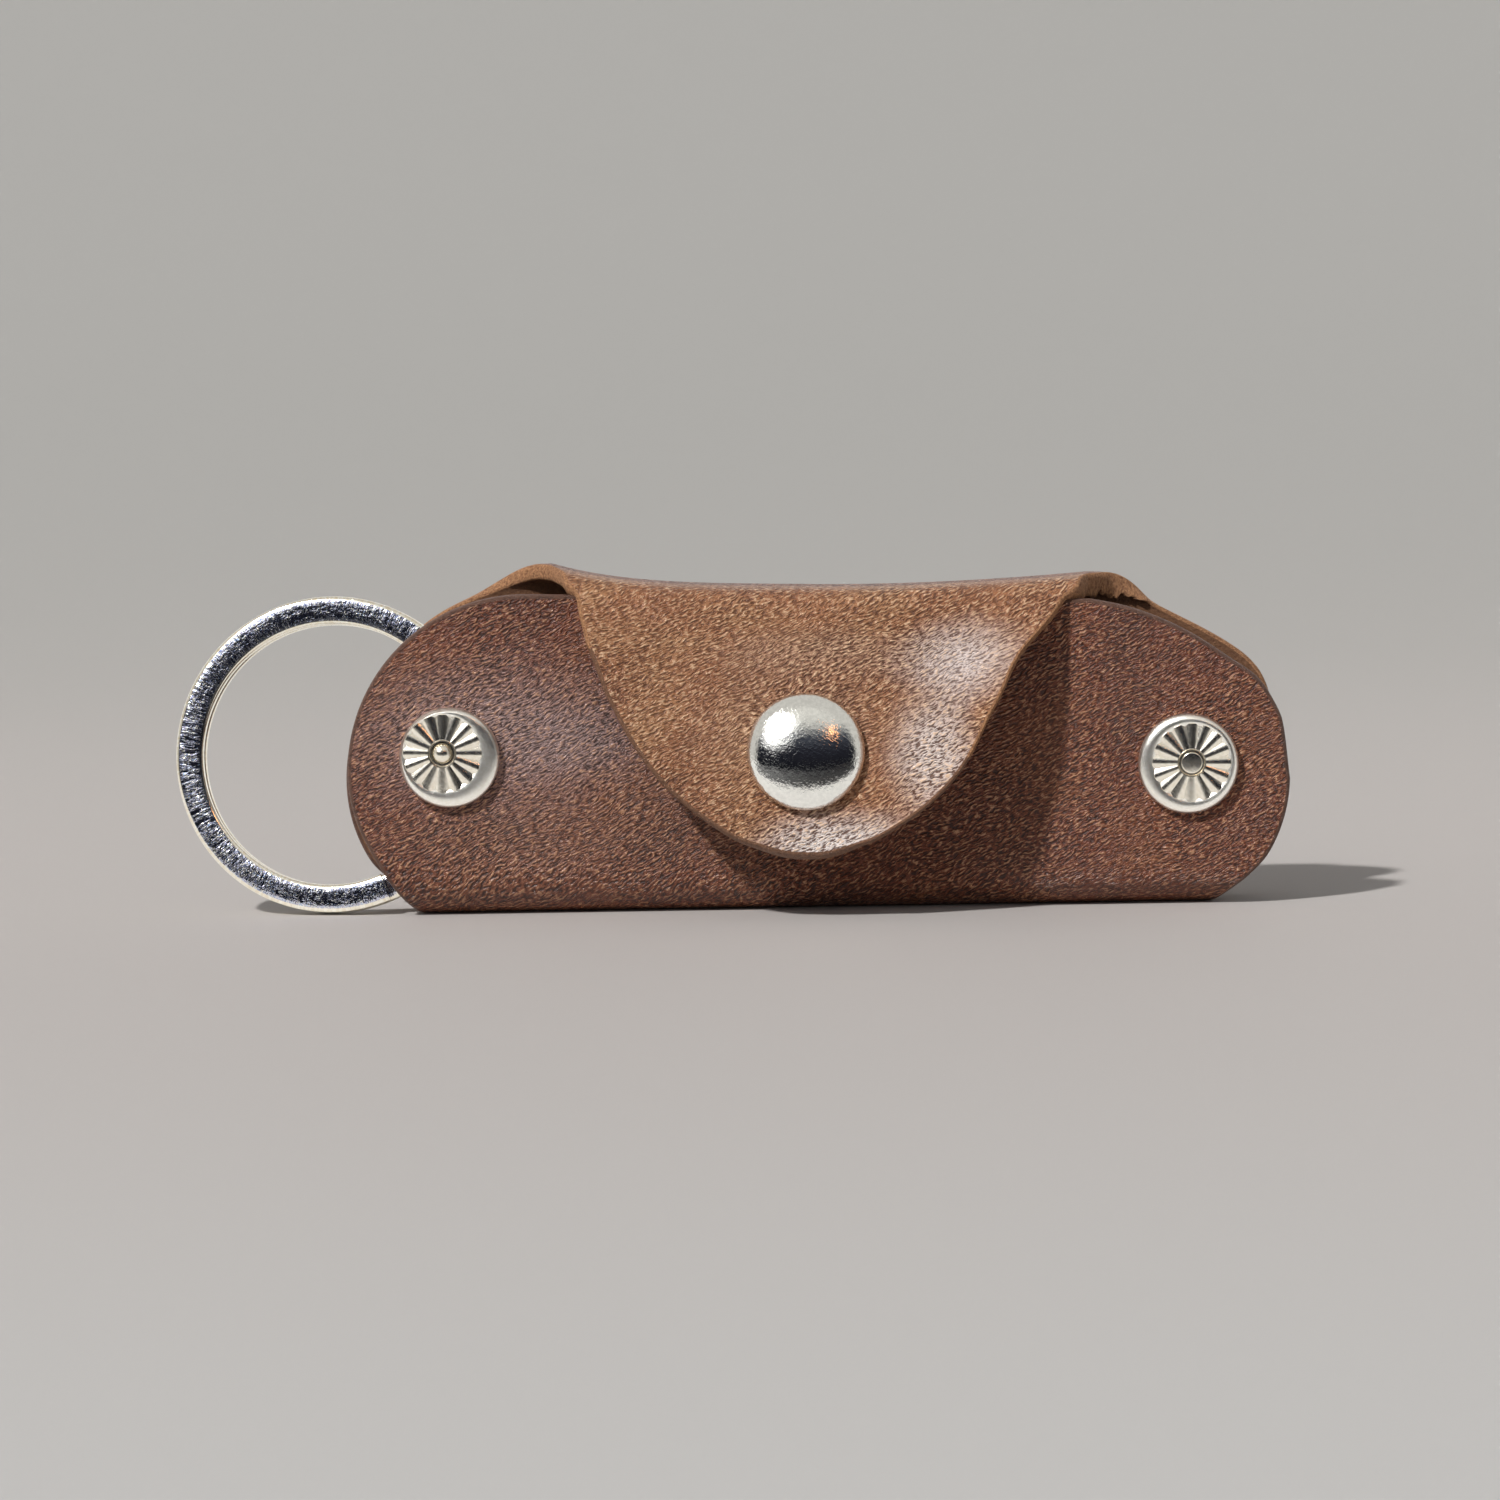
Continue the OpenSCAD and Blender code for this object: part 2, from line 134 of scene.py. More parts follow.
def leather_sheet(name, s, half, centre, seam_row, place, materials):
    """Closed sheet with rounded cut edges. Row k lies at distance s[k] and spans half[k] to
    each side of centre[k]. The row seam_row, first or last, is cut square to meet its
    neighbour. place(x, s, height) bends the flat strip into its place on the case. The four
    materials are the grain side, the flesh side, the cut edge and the raw edge."""
    columns = 121
    rounds = 7
    across = np.linspace(-1, 1, columns)
    rows = len(s)
    tangent = np.gradient(np.stack([half, s], axis=1), axis=0)
    normal = np.stack([tangent[:, 1], -tangent[:, 0]], axis=1)
    normal /= np.linalg.norm(normal, axis=1)[:, None]
    normal[seam_row] = (1, 0)
    half_in = half - EDGE_ROUND * normal[:, 0]
    s_in = s - EDGE_ROUND * normal[:, 1]

    flat_x = centre[:, None] + half_in[:, None] * across[None, :]
    flat_s = np.repeat(s_in[:, None], columns, axis=1)
    index = np.arange(rows * columns).reshape(rows, columns)
    loop = np.concatenate([index[0], index[1:, -1], index[-1, -2::-1], index[-2:0:-1, 0]])
    out = np.zeros((rows, columns, 2))
    out[0, :, 1] = -1
    out[-1, :, 1] = 1
    out[seam_row] = 0
    out[:, -1] = normal
    out[:, 0] = normal * (-1, 1)
    out = out.reshape(-1, 2)[loop] * EDGE_ROUND
    loop_x = flat_x.reshape(-1)[loop]
    loop_s = flat_s.reshape(-1)[loop]

    # Both faces of the sheet, then the rings of points that round its edge.
    flat = [np.stack([flat_x.ravel(), flat_s.ravel(), np.full(index.size, h)], axis=1)
            for h in (LEATHER_T / 2, -LEATHER_T / 2)]
    for k in range(1, rounds):
        turn = math.pi * k / rounds
        reach = math.sin(turn) ** EDGE_BLUNT
        height = math.copysign(abs(math.cos(turn)) ** EDGE_BLUNT, math.cos(turn)) * LEATHER_T / 2
        flat.append(np.stack([loop_x + out[:, 0] * reach, loop_s + out[:, 1] * reach,
                              np.full(loop.size, height)], axis=1))
    flat = np.concatenate(flat)

    faces, finish = [], []
    for k in range(rows - 1):
        for i in range(columns - 1):
            a, b, c, d = index[k, i], index[k, i + 1], index[k + 1, i + 1], index[k + 1, i]
            faces += [(a, b, c, d), tuple(v + index.size for v in (d, c, b, a))]
            finish += [0, 1]
    rings = [2 * index.size + loop.size * k + np.arange(loop.size) for k in range(rounds - 1)]
    rings = [loop] + rings + [loop + index.size]
    for upper, lower in zip(rings, rings[1:]):
        for i in range(loop.size):
            j = (i + 1) % loop.size
            faces.append((upper[j], upper[i], lower[i], lower[j]))
            finish.append(2)

    mesh = bpy.data.meshes.new(name)
    points = place(flat[:, 0], flat[:, 1], flat[:, 2]) * MM
    mesh.from_pydata(points.tolist(), [], [tuple(int(v) for v in f) for f in faces])
    mesh.polygons.foreach_set("material_index", finish)
    mesh.polygons.foreach_set("use_smooth", [True] * len(faces))
    strip = mesh.attributes.new("strip", "FLOAT_VECTOR", "POINT")
    strip.data.foreach_set("vector", flat.astype(np.float32).ravel())
    for material in materials:
        mesh.materials.append(material)
    obj = bpy.data.objects.new(name, mesh)
    bpy.context.collection.objects.link(obj)
    face_outwards(obj)
    mesh.set_sharp_from_angle(angle=math.radians(50))
    return obj


def crest_rise(x):
    """How far the top fold stands over its middle height: it sags between raised corners."""
    out = np.abs(x) / FOLD_HALF
    corner = np.where(x < 0, LEFT_RISE * out ** LEFT_CURVE, RIGHT_RISE * out ** RIGHT_CURVE)
    return corner - CREST_SAG


def torn(x, s, height, edge):
    """How far the flesh side hangs out ragged along a right-hand edge, edge mm away."""
    ragged = TORN_REACH
    for depth, rate, start in TORN_WAVES:
        ragged = ragged + depth * np.sin(rate * s + start)
    return -ragged * smooth_between(*TORN_EDGE, edge) * smooth_between(*TORN_FLESH, height) * (x > 0)


def skewed(x, z, amount):
    """Turns points in X and Z with the skewed fold."""
    turn = SKEW * amount
    return x * np.cos(turn) + z * np.sin(turn), z * np.cos(turn) - x * np.sin(turn)


def linear(code):
    """Linear colour of an sRGB hex code."""
    parts = [int(code[i:i + 2], 16) / 255 for i in (0, 2, 4)]
    return [v / 12.92 if v <= 0.04045 else ((v + 0.055) / 1.055) ** 2.4 for v in parts] + [1]


def add(tree, kind, settings={}, inputs={}):
    """Adds a node with its settings, and links or sets its inputs. A node given as an input
    stands for its first output, and a hex code for its colour. The stops of a colour ramp
    are (place, hex code)."""
    node = tree.nodes.new(kind)
    for key, value in settings.items():
        if key != "stops":
            setattr(node, key, value)
    for k, (place, code) in enumerate(settings.get("stops", ())):
        if k == len(node.color_ramp.elements):
            node.color_ramp.elements.new(1)
        node.color_ramp.elements[k].position = place
        node.color_ramp.elements[k].color = linear(code)
    for key, value in inputs.items():
        if isinstance(value, bpy.types.Node):
            value = value.outputs[0]
        if isinstance(value, bpy.types.NodeSocket):
            tree.links.new(value, node.inputs[key])
        else:
            node.inputs[key].default_value = linear(value) if isinstance(value, str) else value
    return node


def new_material(name):
    """An empty material and its node tree."""
    material = bpy.data.materials.new(name)
    material.use_nodes = True
    material.node_tree.nodes.clear()
    return material, material.node_tree


def slanted_marks(tree, place, angle, size, detail, rough=0.5):
    """A pattern of marks along a slant: angle in degrees, size in mm along the slant, across
    it and through the piece."""
    spun = add(tree, "ShaderNodeVectorRotate", {"rotation_type": "Z_AXIS"}, {
        "Vector": place, "Angle": math.radians(angle)})
    scaled = add(tree, "ShaderNodeVectorMath", {"operation": "DIVIDE"}, {0: spun, 1: size})
    return add(tree, "ShaderNodeTexNoise", inputs={
        "Vector": scaled, "Scale": 1.0, "Detail": detail, "Roughness": rough})


# Grain of the hide: the creases' slant, each pattern's size, and the height of its relief.
CREASE_SLANT = 28
CREASE_MM = (0.66, 0.21, 1.0)
PORE_MM = (0.22, 0.2, 1.0)
PATCH_MM = (11.0, 7.0, 4.0)
CALM_MM = (16.0, 9.0, 4.0)
GRAIN_RELIEF = 0.7
FIBRE_RELIEF = 0.5


def grain_leather(name, colours, roughness, painted_sheens):
    """Waxed full-grain cowhide: drum-dyed, oiled and rolled, with a fine creased grain. The dye pools dark in
    the creases and rubs off their crests, and the colour also paints shade in the creases and the lamp's
    glints on the crests, so the eye sees short slanting flecks. The wax gives a low broad shine. Painted
    sheens are pale patches put into the colour where the lamp's sheen falls on the curved leather; a painted
    sheen is (x, s, radius in x, radius in s, colour, share)."""
    dark, middle, light, crest = colours
    material, tree = new_material(name)
    strip = add(tree, "ShaderNodeAttribute", {"attribute_name": "strip"}).outputs["Vector"]

    # The creases wander by 1.6 mm every 8 mm, and shiver by 0.3 mm every 0.6 mm.
    bent = strip
    for scale, wander in ((0.13, 1.6), (1.6, 0.34)):
        drift = add(tree, "ShaderNodeTexNoise", inputs={"Vector": strip, "Scale": scale, "Detail": 1.0})
        bent = add(tree, "ShaderNodeVectorMath", {"operation": "MULTIPLY_ADD"}, {
            0: drift.outputs["Color"], 1: (wander, wander, 0.0), 2: bent})
    creases = slanted_marks(tree, bent, CREASE_SLANT, CREASE_MM, 1.5)
    pores = slanted_marks(tree, strip, 0, PORE_MM, 2.0, 0.6)
    patches = slanted_marks(tree, strip, 20, PATCH_MM, 3.0)
    calm = add(tree, "ShaderNodeMapRange", {"interpolation_type": "SMOOTHSTEP"}, {
        "Value": slanted_marks(tree, strip, 70, CALM_MM, 1.0),
        "From Min": 0.35, "From Max": 0.6, "To Min": 0.75, "To Max": 1.0})
    raised = add(tree, "ShaderNodeMath", {"operation": "SUBTRACT"}, {0: pores, 1: 0.5})
    raised = add(tree, "ShaderNodeMath", {"operation": "MULTIPLY_ADD"}, {0: raised, 1: 0.25, 2: creases})
    relief = add(tree, "ShaderNodeMath", {"operation": "MULTIPLY"}, {0: raised, 1: calm})
    relief = add(tree, "ShaderNodeBump", inputs={
        "Height": relief, "Strength": 0.9, "Distance": GRAIN_RELIEF * MM})

    colour = add(tree, "ShaderNodeValToRGB", {"stops": [(0.0, dark), (0.48, middle), (0.75, light)]}, {
        "Fac": patches})
    # Painted sheen: each patch mixes a pale colour into an oval round (x, s), its rim made ragged by the
    # patches.
    for x, along, wide, tall, haze, amount in painted_sheens:
        away = add(tree, "ShaderNodeVectorMath", {"operation": "SUBTRACT"}, {0: strip, 1: (x, along, 0)})
        away = add(tree, "ShaderNodeVectorMath", {"operation": "DIVIDE"}, {0: away, 1: (wide, tall, 1e3)})
        away = add(tree, "ShaderNodeVectorMath", {"operation": "LENGTH"}, {0: away}).outputs["Value"]
        away = add(tree, "ShaderNodeMath", {"operation": "MULTIPLY_ADD"}, {0: patches, 1: 0.6, 2: away})
        painted_sheen_share = add(tree, "ShaderNodeMapRange", {"interpolation_type": "SMOOTHSTEP"}, {
            "Value": away, "From Min": 0.35, "From Max": 1.35, "To Min": amount, "To Max": 0.0})
        colour = add(tree, "ShaderNodeMix", {"data_type": "RGBA"}, {
            0: painted_sheen_share, 6: colour, 7: haze}).outputs[2]
    # Dark flecks in the creases are pooled dye and painted shade. Pale flecks of the crest colour on the
    # raised grain are rubbed dye and painted glint.
    for low, high, amount, tint in ((0.52, 0.38, 0.92, dark), (0.53, 0.68, 0.75, crest)):
        dye_and_lighting_fleck = add(tree, "ShaderNodeMapRange", {"interpolation_type": "SMOOTHSTEP"}, {
            "Value": raised, "From Min": low, "From Max": high, "To Min": 0.0, "To Max": amount})
        dye_and_lighting_fleck = add(tree, "ShaderNodeMath", {"operation": "MULTIPLY"}, {0: dye_and_lighting_fleck, 1: calm})
        colour = add(tree, "ShaderNodeMix", {"data_type": "RGBA"}, {
            0: dye_and_lighting_fleck, 6: colour, 7: tint}).outputs[2]
    gloss = add(tree, "ShaderNodeMapRange", {"interpolation_type": "SMOOTHSTEP"}, {
        "Value": raised, "From Min": 0.35, "From Max": 0.65,
        "To Min": roughness + 0.08, "To Max": roughness - 0.06})
    skin = add(tree, "ShaderNodeBsdfPrincipled", inputs={
        "Base Color": colour, "Roughness": gloss, "IOR": 1.44, "Normal": relief})
    add(tree, "ShaderNodeOutputMaterial", inputs={"Surface": skin})
    return material


def rough_leather(name, dark, light, fibre_mm, roughness):
    """The inside of the hide and its cut edges: matt tangled fibres, with no grain, so the
    eye sees a soft speckle. Real fibres are finer than a pixel and are drawn fibre_mm thick."""
    material, tree = new_material(name)
    strip = add(tree, "ShaderNodeAttribute", {"attribute_name": "strip"}).outputs["Vector"]
    fibres = slanted_marks(tree, strip, 0, (fibre_mm,) * 3, 5.0, 0.7)
    relief = add(tree, "ShaderNodeBump", inputs={
        "Height": fibres, "Strength": 0.9, "Distance": FIBRE_RELIEF * MM})
    colour = add(tree, "ShaderNodeValToRGB", {"stops": [(0.3, dark), (0.7, light)]}, {"Fac": fibres})
    skin = add(tree, "ShaderNodeBsdfPrincipled", inputs={
        "Base Color": colour, "Roughness": roughness, "IOR": 1.5, "Normal": relief})
    add(tree, "ShaderNodeOutputMaterial", inputs={"Surface": skin})
    return material


# The walls keep their deep red-brown, with painted sheen on the left half of the front wall. The flap, bent
# many times, is rubbed to a lighter tan, with painted sheen down its right side, on its tip and in its
# middle.
# The fourth colour of each leather is its crest fleck colour: rubbed dye and painted glint.
wall_grain = grain_leather("Waxed full-grain leather", ("2E140B", "70361D", "7E4729", "CC9A76"), 0.36, [
    (-33, 15, 25, 11, "A98E8A", 0.78), (-32, 27, 18, 7, "8E6452", 0.5),
    (-14, 23, 22, 9, "7A5440", 0.4)])
flap_grain = grain_leather("Waxed full-grain leather, bent", ("5A3420", "9C6643", "AE7E56", "F0C8A2"), 0.38, [
    (15, 12, 9, 6, "E2D2CC", 0.92), (12, 22, 6, 9, "E6D6CE", 0.92), (2, 32, 12, 5, "EEE2DC", 0.98),
    (-3, 20, 12, 8, "B08C72", 0.5), (1, 11, 16, 4, "B8947C", 0.5)])

# The flesh side is dull and even. Burnishing or handling closes a cut edge to a dark low
# shine, and a raw edge shows pale, dry, coarse fibres.
flesh_side = rough_leather("Flesh side of the leather", "6B4530", "946A4A", 0.35, 0.85)
wall_edge = rough_leather("Burnished cut edge", "452A1E", "6E4A38", 0.5, 0.56)
flap_edge = rough_leather("Handled cut edge", "5E3C28", "8E6446", 0.4, 0.5)
raw_edge = rough_leather("Raw cut edge", "6E4028", "DAA272", 0.28, 0.8)


# Wrap
# The strip's front wall, bottom fold and back wall, up to the middle of the top fold. Both
# walls are cut to one long outline with round ends, with a torn upper right edge at the back.
# The fold sets them a little askew, and the rivet heads press seats into the front.

# The pocket and its walls, the flat foot and its two bends, the top fold's middle line and
# bend, the line on it where the flap begins, the round ends, and the rivets' places.
POCKET_GAP = 8.0
WALL_HEIGHT = 33.6
WALL_MID = (POCKET_GAP + LEATHER_T) / 2
FOOT_W = 2.6
BOTTOM_BEND = WALL_MID - FOOT_W / 2
TOP_MID = 34.55
TOP_BEND = 2.1
FOLD_Y = -0.6
HALF_LENGTH = 50.2
END_HEIGHT = 14.6
END_LOW_R = 16.2
END_UP_R = WALL_HEIGHT - END_HEIGHT
RIVET_X = HALF_LENGTH - 10.9
RIVET_Z = 16.2
RIVET_R = 5.35

wrap_path = strip_path((-WALL_MID, WALL_HEIGHT), 90, [
    (WALL_HEIGHT - BOTTOM_BEND - LEATHER_T / 2, 0), (BOTTOM_BEND, 90), (FOOT_W, 0), (BOTTOM_BEND, 90),
    (TOP_MID - TOP_BEND - BOTTOM_BEND - LEATHER_T / 2, 0), (TOP_BEND, 90),
    (WALL_MID - TOP_BEND - FOLD_Y, 0)], 0.25)
WRAP_END = wrap_path["s"][-1]
NECK_START = WRAP_END - (WALL_MID - TOP_BEND - FOLD_Y) - TOP_BEND * math.pi / 2
FOOT_S = WALL_HEIGHT - BOTTOM_BEND - LEATHER_T / 2 + BOTTOM_BEND * math.pi / 2 + FOOT_W / 2

# Heights and half lengths of the upper right corners, then the neck's half lengths at two
# distances past its start, and how closely rows stand on the corner, wall, foot and crest.
FRONT_RIGHT = np.array([(14.6, 50.2), (20.8, 49.3), (23, 48.3), (25.4, 46.6), (27.6, 43.4),
                        (30.0, 39.6), (31.7, 36.0), (33.0, 32.0), (33.6, 28.8)])
BACK_RIGHT = np.array([(14.6, 50.2), (17.6, 50.2), (20.1, 49.8), (22.3, 49.0), (24.6, 47.4),
                       (26.8, 45.0), (29.0, 41.9), (31.1, 38.3), (32.45, 35.8)])
NECK_AT = (1.6, 3.4)
NECK_LEFT = (34.0, 30.8)
NECK_RIGHT = (33.8, 31.4)
CORNER_TURN, WALL_ROWS, FOOT_ROWS, CREST_ROWS = 2.25, 26, 10, 22

# How far each unevenness goes, and the span of distance or height where it comes in.
TORN_IN = (WRAP_END - 8.5, WRAP_END - 4.5)
BACK_SKEW, BACK_SKEW_IN = 2.4, (FOOT_S - 6, FOOT_S + 6)
CREST_SKEW_IN = (2 * FOOT_S - 14, 2 * FOOT_S + 1)
SKEW_UP = (0, 7)
FRONT_SAG_UP = (22, 33)
CREST_RISE_IN = (2 * FOOT_S - 9, 2 * FOOT_S)
CREST_ENDS = (FOLD_HALF, FOLD_HALF + 9)
RIVET_SINK, RIVET_SINK_OUT = 0.16, (RIVET_R - 0.6, RIVET_R + 2.2)
BOW, BOW_LENGTH, BOW_START, BOW_UP = 0.22, 17.0, 0.6, (2, 16)
RAW_BEHIND, RAW_LEFT_OVER = -1, 27


def wall_half(z):
    """Half the length of a wall at a height: low and high arcs meet on the widest line."""
    low = HALF_LENGTH - END_LOW_R + np.sqrt(np.maximum(END_LOW_R ** 2 - (z - END_HEIGHT) ** 2, 0))
    high = HALF_LENGTH - END_UP_R + np.sqrt(np.maximum(END_UP_R ** 2 - (z - END_HEIGHT) ** 2, 0))
    return np.where(z < END_HEIGHT, low, high)


def wrap_rows():
    """Distances, half lengths and middles of the wrap's rows, closer where the outline turns
    away. The upper right corners are cut back, and the neck narrows round the top bend."""
    turns = np.radians(np.arange(90, 0, -CORNER_TURN))
    top = END_UP_R * (1 - np.sin(turns))
    wall = np.linspace(END_UP_R, FOOT_S - FOOT_W / 2 - BOTTOM_BEND, WALL_ROWS)
    foot = np.linspace(wall[-1], FOOT_S, FOOT_ROWS)[1:]
    front = np.concatenate([top, wall, foot])
    back = 2 * FOOT_S - front[::-1]
    back = back[(back > FOOT_S) & (back < NECK_START - 0.3)]
    s = np.concatenate([front, back, np.linspace(NECK_START, WRAP_END, CREST_ROWS)])
    y, z = on_path(wrap_path, s, 0)
    left = wall_half(z)
    outline = [smooth_curve(k[:, 0], k[:, 1], np.clip(z, k[0, 0], k[-1, 0]))
               for k in (FRONT_RIGHT, BACK_RIGHT)]
    right = np.where(z < END_HEIGHT, left, np.where(s < FOOT_S, outline[0], outline[1]))
    neck = s >= NECK_START
    knots = np.array([0, *NECK_AT, WRAP_END - NECK_START])
    for side, halves in ((left, (wall_half(TOP_MID - TOP_BEND), *NECK_LEFT, FOLD_HALF)),
                         (right, (BACK_RIGHT[-1, 1], *NECK_RIGHT, FOLD_HALF))):
        side[neck] = smooth_curve(knots, np.array(halves, float), s[neck] - NECK_START)
    return s, (left + right) / 2, (right - left) / 2


def place_wrap(x, s, height):
    """Bends the flat strip round the pocket, and presses the rivets' seats into it."""
    edge = np.interp(s, wrap_s, wrap_middle + wrap_half) - x
    y, z = on_path(wrap_path, s, height + torn(x, s, height, edge) * smooth_between(*TORN_IN, s))
    crest = smooth_between(*CREST_SKEW_IN, s)
    amount = (1 - smooth_between(*BACK_SKEW_IN, s) * BACK_SKEW) * (1 - crest) + crest
    amount = amount * smooth_between(*SKEW_UP, z)
    sag = np.minimum(crest_rise(x), 0) * smooth_between(*FRONT_SAG_UP, z) * (s < FOOT_S)
    rise = crest_rise(np.clip(x, -FOLD_HALF, FOLD_HALF)) * smooth_between(*CREST_RISE_IN, s)
    rise = rise * (1 - smooth_between(*CREST_ENDS, np.abs(x)))
    seat = 0
    for middle in (-RIVET_X, RIVET_X):
        away = np.hypot(x - middle, z - RIVET_Z)
        seat = seat + RIVET_SINK * (1 - smooth_between(*RIVET_SINK_OUT, away)) * (s < FOOT_S)
    bow = BOW * np.sin(x / BOW_LENGTH + BOW_START) * smooth_between(*BOW_UP, z)
    x, z = skewed(x, z, amount)
    return np.stack([x, y + seat + bow * (1 - crest) * (s > FOOT_S), z + sag + rise], axis=1)


wrap_s, wrap_half, wrap_middle = wrap_rows()
wrap = leather_sheet("Leather_wrap", wrap_s, wrap_half, wrap_middle, -1, place_wrap,
                     (wall_grain, flesh_side, wall_edge, raw_edge))
for face in wrap.data.polygons:
    middle = face.center / MM
    if face.material_index == 2 and middle.y > RAW_BEHIND and (middle.x > 0 or middle.z > RAW_LEFT_OVER):
        face.material_index = 3
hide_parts("leather_wrap")
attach(wrap, "case")


# Flap
# The rest of the strip: over the top fold, down the front and into a round tongue, rubbed
# lighter where it bends. Its sides flare away from the wall, its tip curls outwards, and the
# cap of the press stud sits in a shallow tipped seat.

# The press stud's stack and place, the tipped seat of its cap, then the flap's slope, the
# bend below that, and the radius and degrees of the tip's curl.
WALL_OUT = POCKET_GAP / 2 + LEATHER_T
SNAP_STACK = 3.6
SNAP_X = -1.4
SNAP_Z = 17.6
CAP_R = 6.25
SEAT_Y = WALL_OUT + SNAP_STACK + LEATHER_T / 2
SEAT_TIP = math.radians(12)
SEAT_HALF = CAP_R + 0.4
FLAP_SLOPE = math.radians(20)
SLOPE_BEND = 9
CURL_BEND = 21
TIP_CURL = 16
slope_run = (TOP_MID - SNAP_Z - SEAT_HALF * math.cos(SEAT_TIP) - TOP_BEND * (1 - math.sin(FLAP_SLOPE))
             - SLOPE_BEND * (math.sin(FLAP_SLOPE) - math.sin(SEAT_TIP))) / math.cos(FLAP_SLOPE)
fold_run = (SEAT_Y + FOLD_Y - TOP_BEND * math.cos(FLAP_SLOPE) - slope_run * math.sin(FLAP_SLOPE)
            - SLOPE_BEND * (math.cos(SEAT_TIP) - math.cos(FLAP_SLOPE)) - SEAT_HALF * math.sin(SEAT_TIP))
flap_path = strip_path((wrap_path["y"][-1], wrap_path["z"][-1]), 0, [
    (fold_run, 0), (TOP_BEND, 90 - math.degrees(FLAP_SLOPE)), (slope_run, 0),
    (SLOPE_BEND, math.degrees(FLAP_SLOPE - SEAT_TIP)), (2 * SEAT_HALF, 0), (CURL_BEND, -TIP_CURL),
    (2, 0)], 0.7)

# Half widths: next to the fold by distance, and lower down by height. Middles by distance,
# and the rows down to the round tip and round it.
FOLD_HALVES = np.array([(0, FOLD_HALF), (2.5, 27.9), (5.0, 27.0)])
TONGUE_HALVES = np.array([(33.3, 26.1), (31.8, 25.3), (29.2, 23.9), (26.5, 22.4), (23.7, 21.1),
                          (21.0, 19.7), (17.8, 18.0), (15.7, 16.6), (13.6, 14.8), (11.5, 12.45),
                          (9.5, 9.65), (8.1, 7.2), (7.27, 4.6), (6.75, 2.4), (6.6, 1.2)])
FLAP_MIDDLES = np.array([(0, 0), (4, 0.2), (8, -0.6), (12, -1.5), (18, -1.75), (24, -1.4), (34, -1.15)])
FLAP_ROWS, TIP_ROWS = 62, 46

# How far each unevenness goes, and the span of distance or height where it comes in or out.
FLARE_RIGHT, FLARE_LEFT, FLARE_IN, FLARE_LEAST = 2.7, 0.9, (4, 13), 6
FLARE_CALM, FLARE_CALM_IN = 0.45, (22, 33)
FLAP_TORN_OUT = (7, 11)
CAP_SINK, CAP_SINK_OUT, CAP_SINK_FROM = 0.2, (CAP_R - 0.6, CAP_R + 2.4), 8
CREST_RISE_OUT = (3, 13)
RAW_OVER, RAW_RIGHT_OVER = 29, 17


def flap_rows():
    """Distances, half widths and middles of the flap's rows, closer in the round tip."""
    tongue = np.interp(TONGUE_HALVES[:, 0], flap_path["z"][::-1], flap_path["s"][::-1])
    knots = np.concatenate([FOLD_HALVES[:, 0], tongue])
    halves = np.concatenate([FOLD_HALVES[:, 1], TONGUE_HALVES[:, 1]])
    tip = tongue[-5]
    s = np.concatenate([np.linspace(0, tip, FLAP_ROWS), np.linspace(tip, tongue[-1], TIP_ROWS)[1:]])
    at = np.clip(s, 0, FLAP_MIDDLES[-1, 0])
    return s, smooth_curve(knots, halves, s), smooth_curve(FLAP_MIDDLES[:, 0], FLAP_MIDDLES[:, 1], at)


def place_flap(x, s, height):
    """Bends the flap over the fold, dishes it and presses the cap's seat into it."""
    half = np.interp(s, flap_s, flap_half)
    edge = np.abs(x - np.interp(s, flap_s, flap_middle)) / np.maximum(half, FLARE_LEAST)
    flare = np.where(x > 0, FLARE_RIGHT, FLARE_LEFT) * edge ** 3 * smooth_between(*FLARE_IN, s)
    lift = flare * (1 - smooth_between(*FLARE_CALM_IN, s) * FLARE_CALM)
    ragged = torn(x, WRAP_END + s, height, (1 - edge) * half)
    ragged = ragged * (1 - smooth_between(*FLAP_TORN_OUT, s))
    y, z = on_path(flap_path, s, height + lift + ragged)
    away = np.hypot(x - SNAP_X, z - SNAP_Z)
    seat = CAP_SINK * (1 - smooth_between(*CAP_SINK_OUT, away)) * (s > CAP_SINK_FROM)
    rise = crest_rise(x) * (1 - smooth_between(*CREST_RISE_OUT, s))
    x, z = skewed(x, z, 1)
    return np.stack([x, y + seat, z + rise], axis=1)


flap_s, flap_half, flap_middle = flap_rows()
flap = leather_sheet("Leather_flap", flap_s, flap_half, flap_middle, 0, place_flap,
                     (flap_grain, flesh_side, flap_edge, raw_edge))
for face in flap.data.polygons:
    middle = face.center / MM
    if face.material_index == 2 and (middle.z > RAW_OVER or middle.x > 0 and middle.z > RAW_RIGHT_OVER):
        face.material_index = 3
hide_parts("leather_flap")
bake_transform(flap)


# Rivets
# Each is a pressed nickel-silver head with a rolled rim and a dish of struck petals, a pin
# through both walls whose end shows in the head, and a plain domed cap on the back.

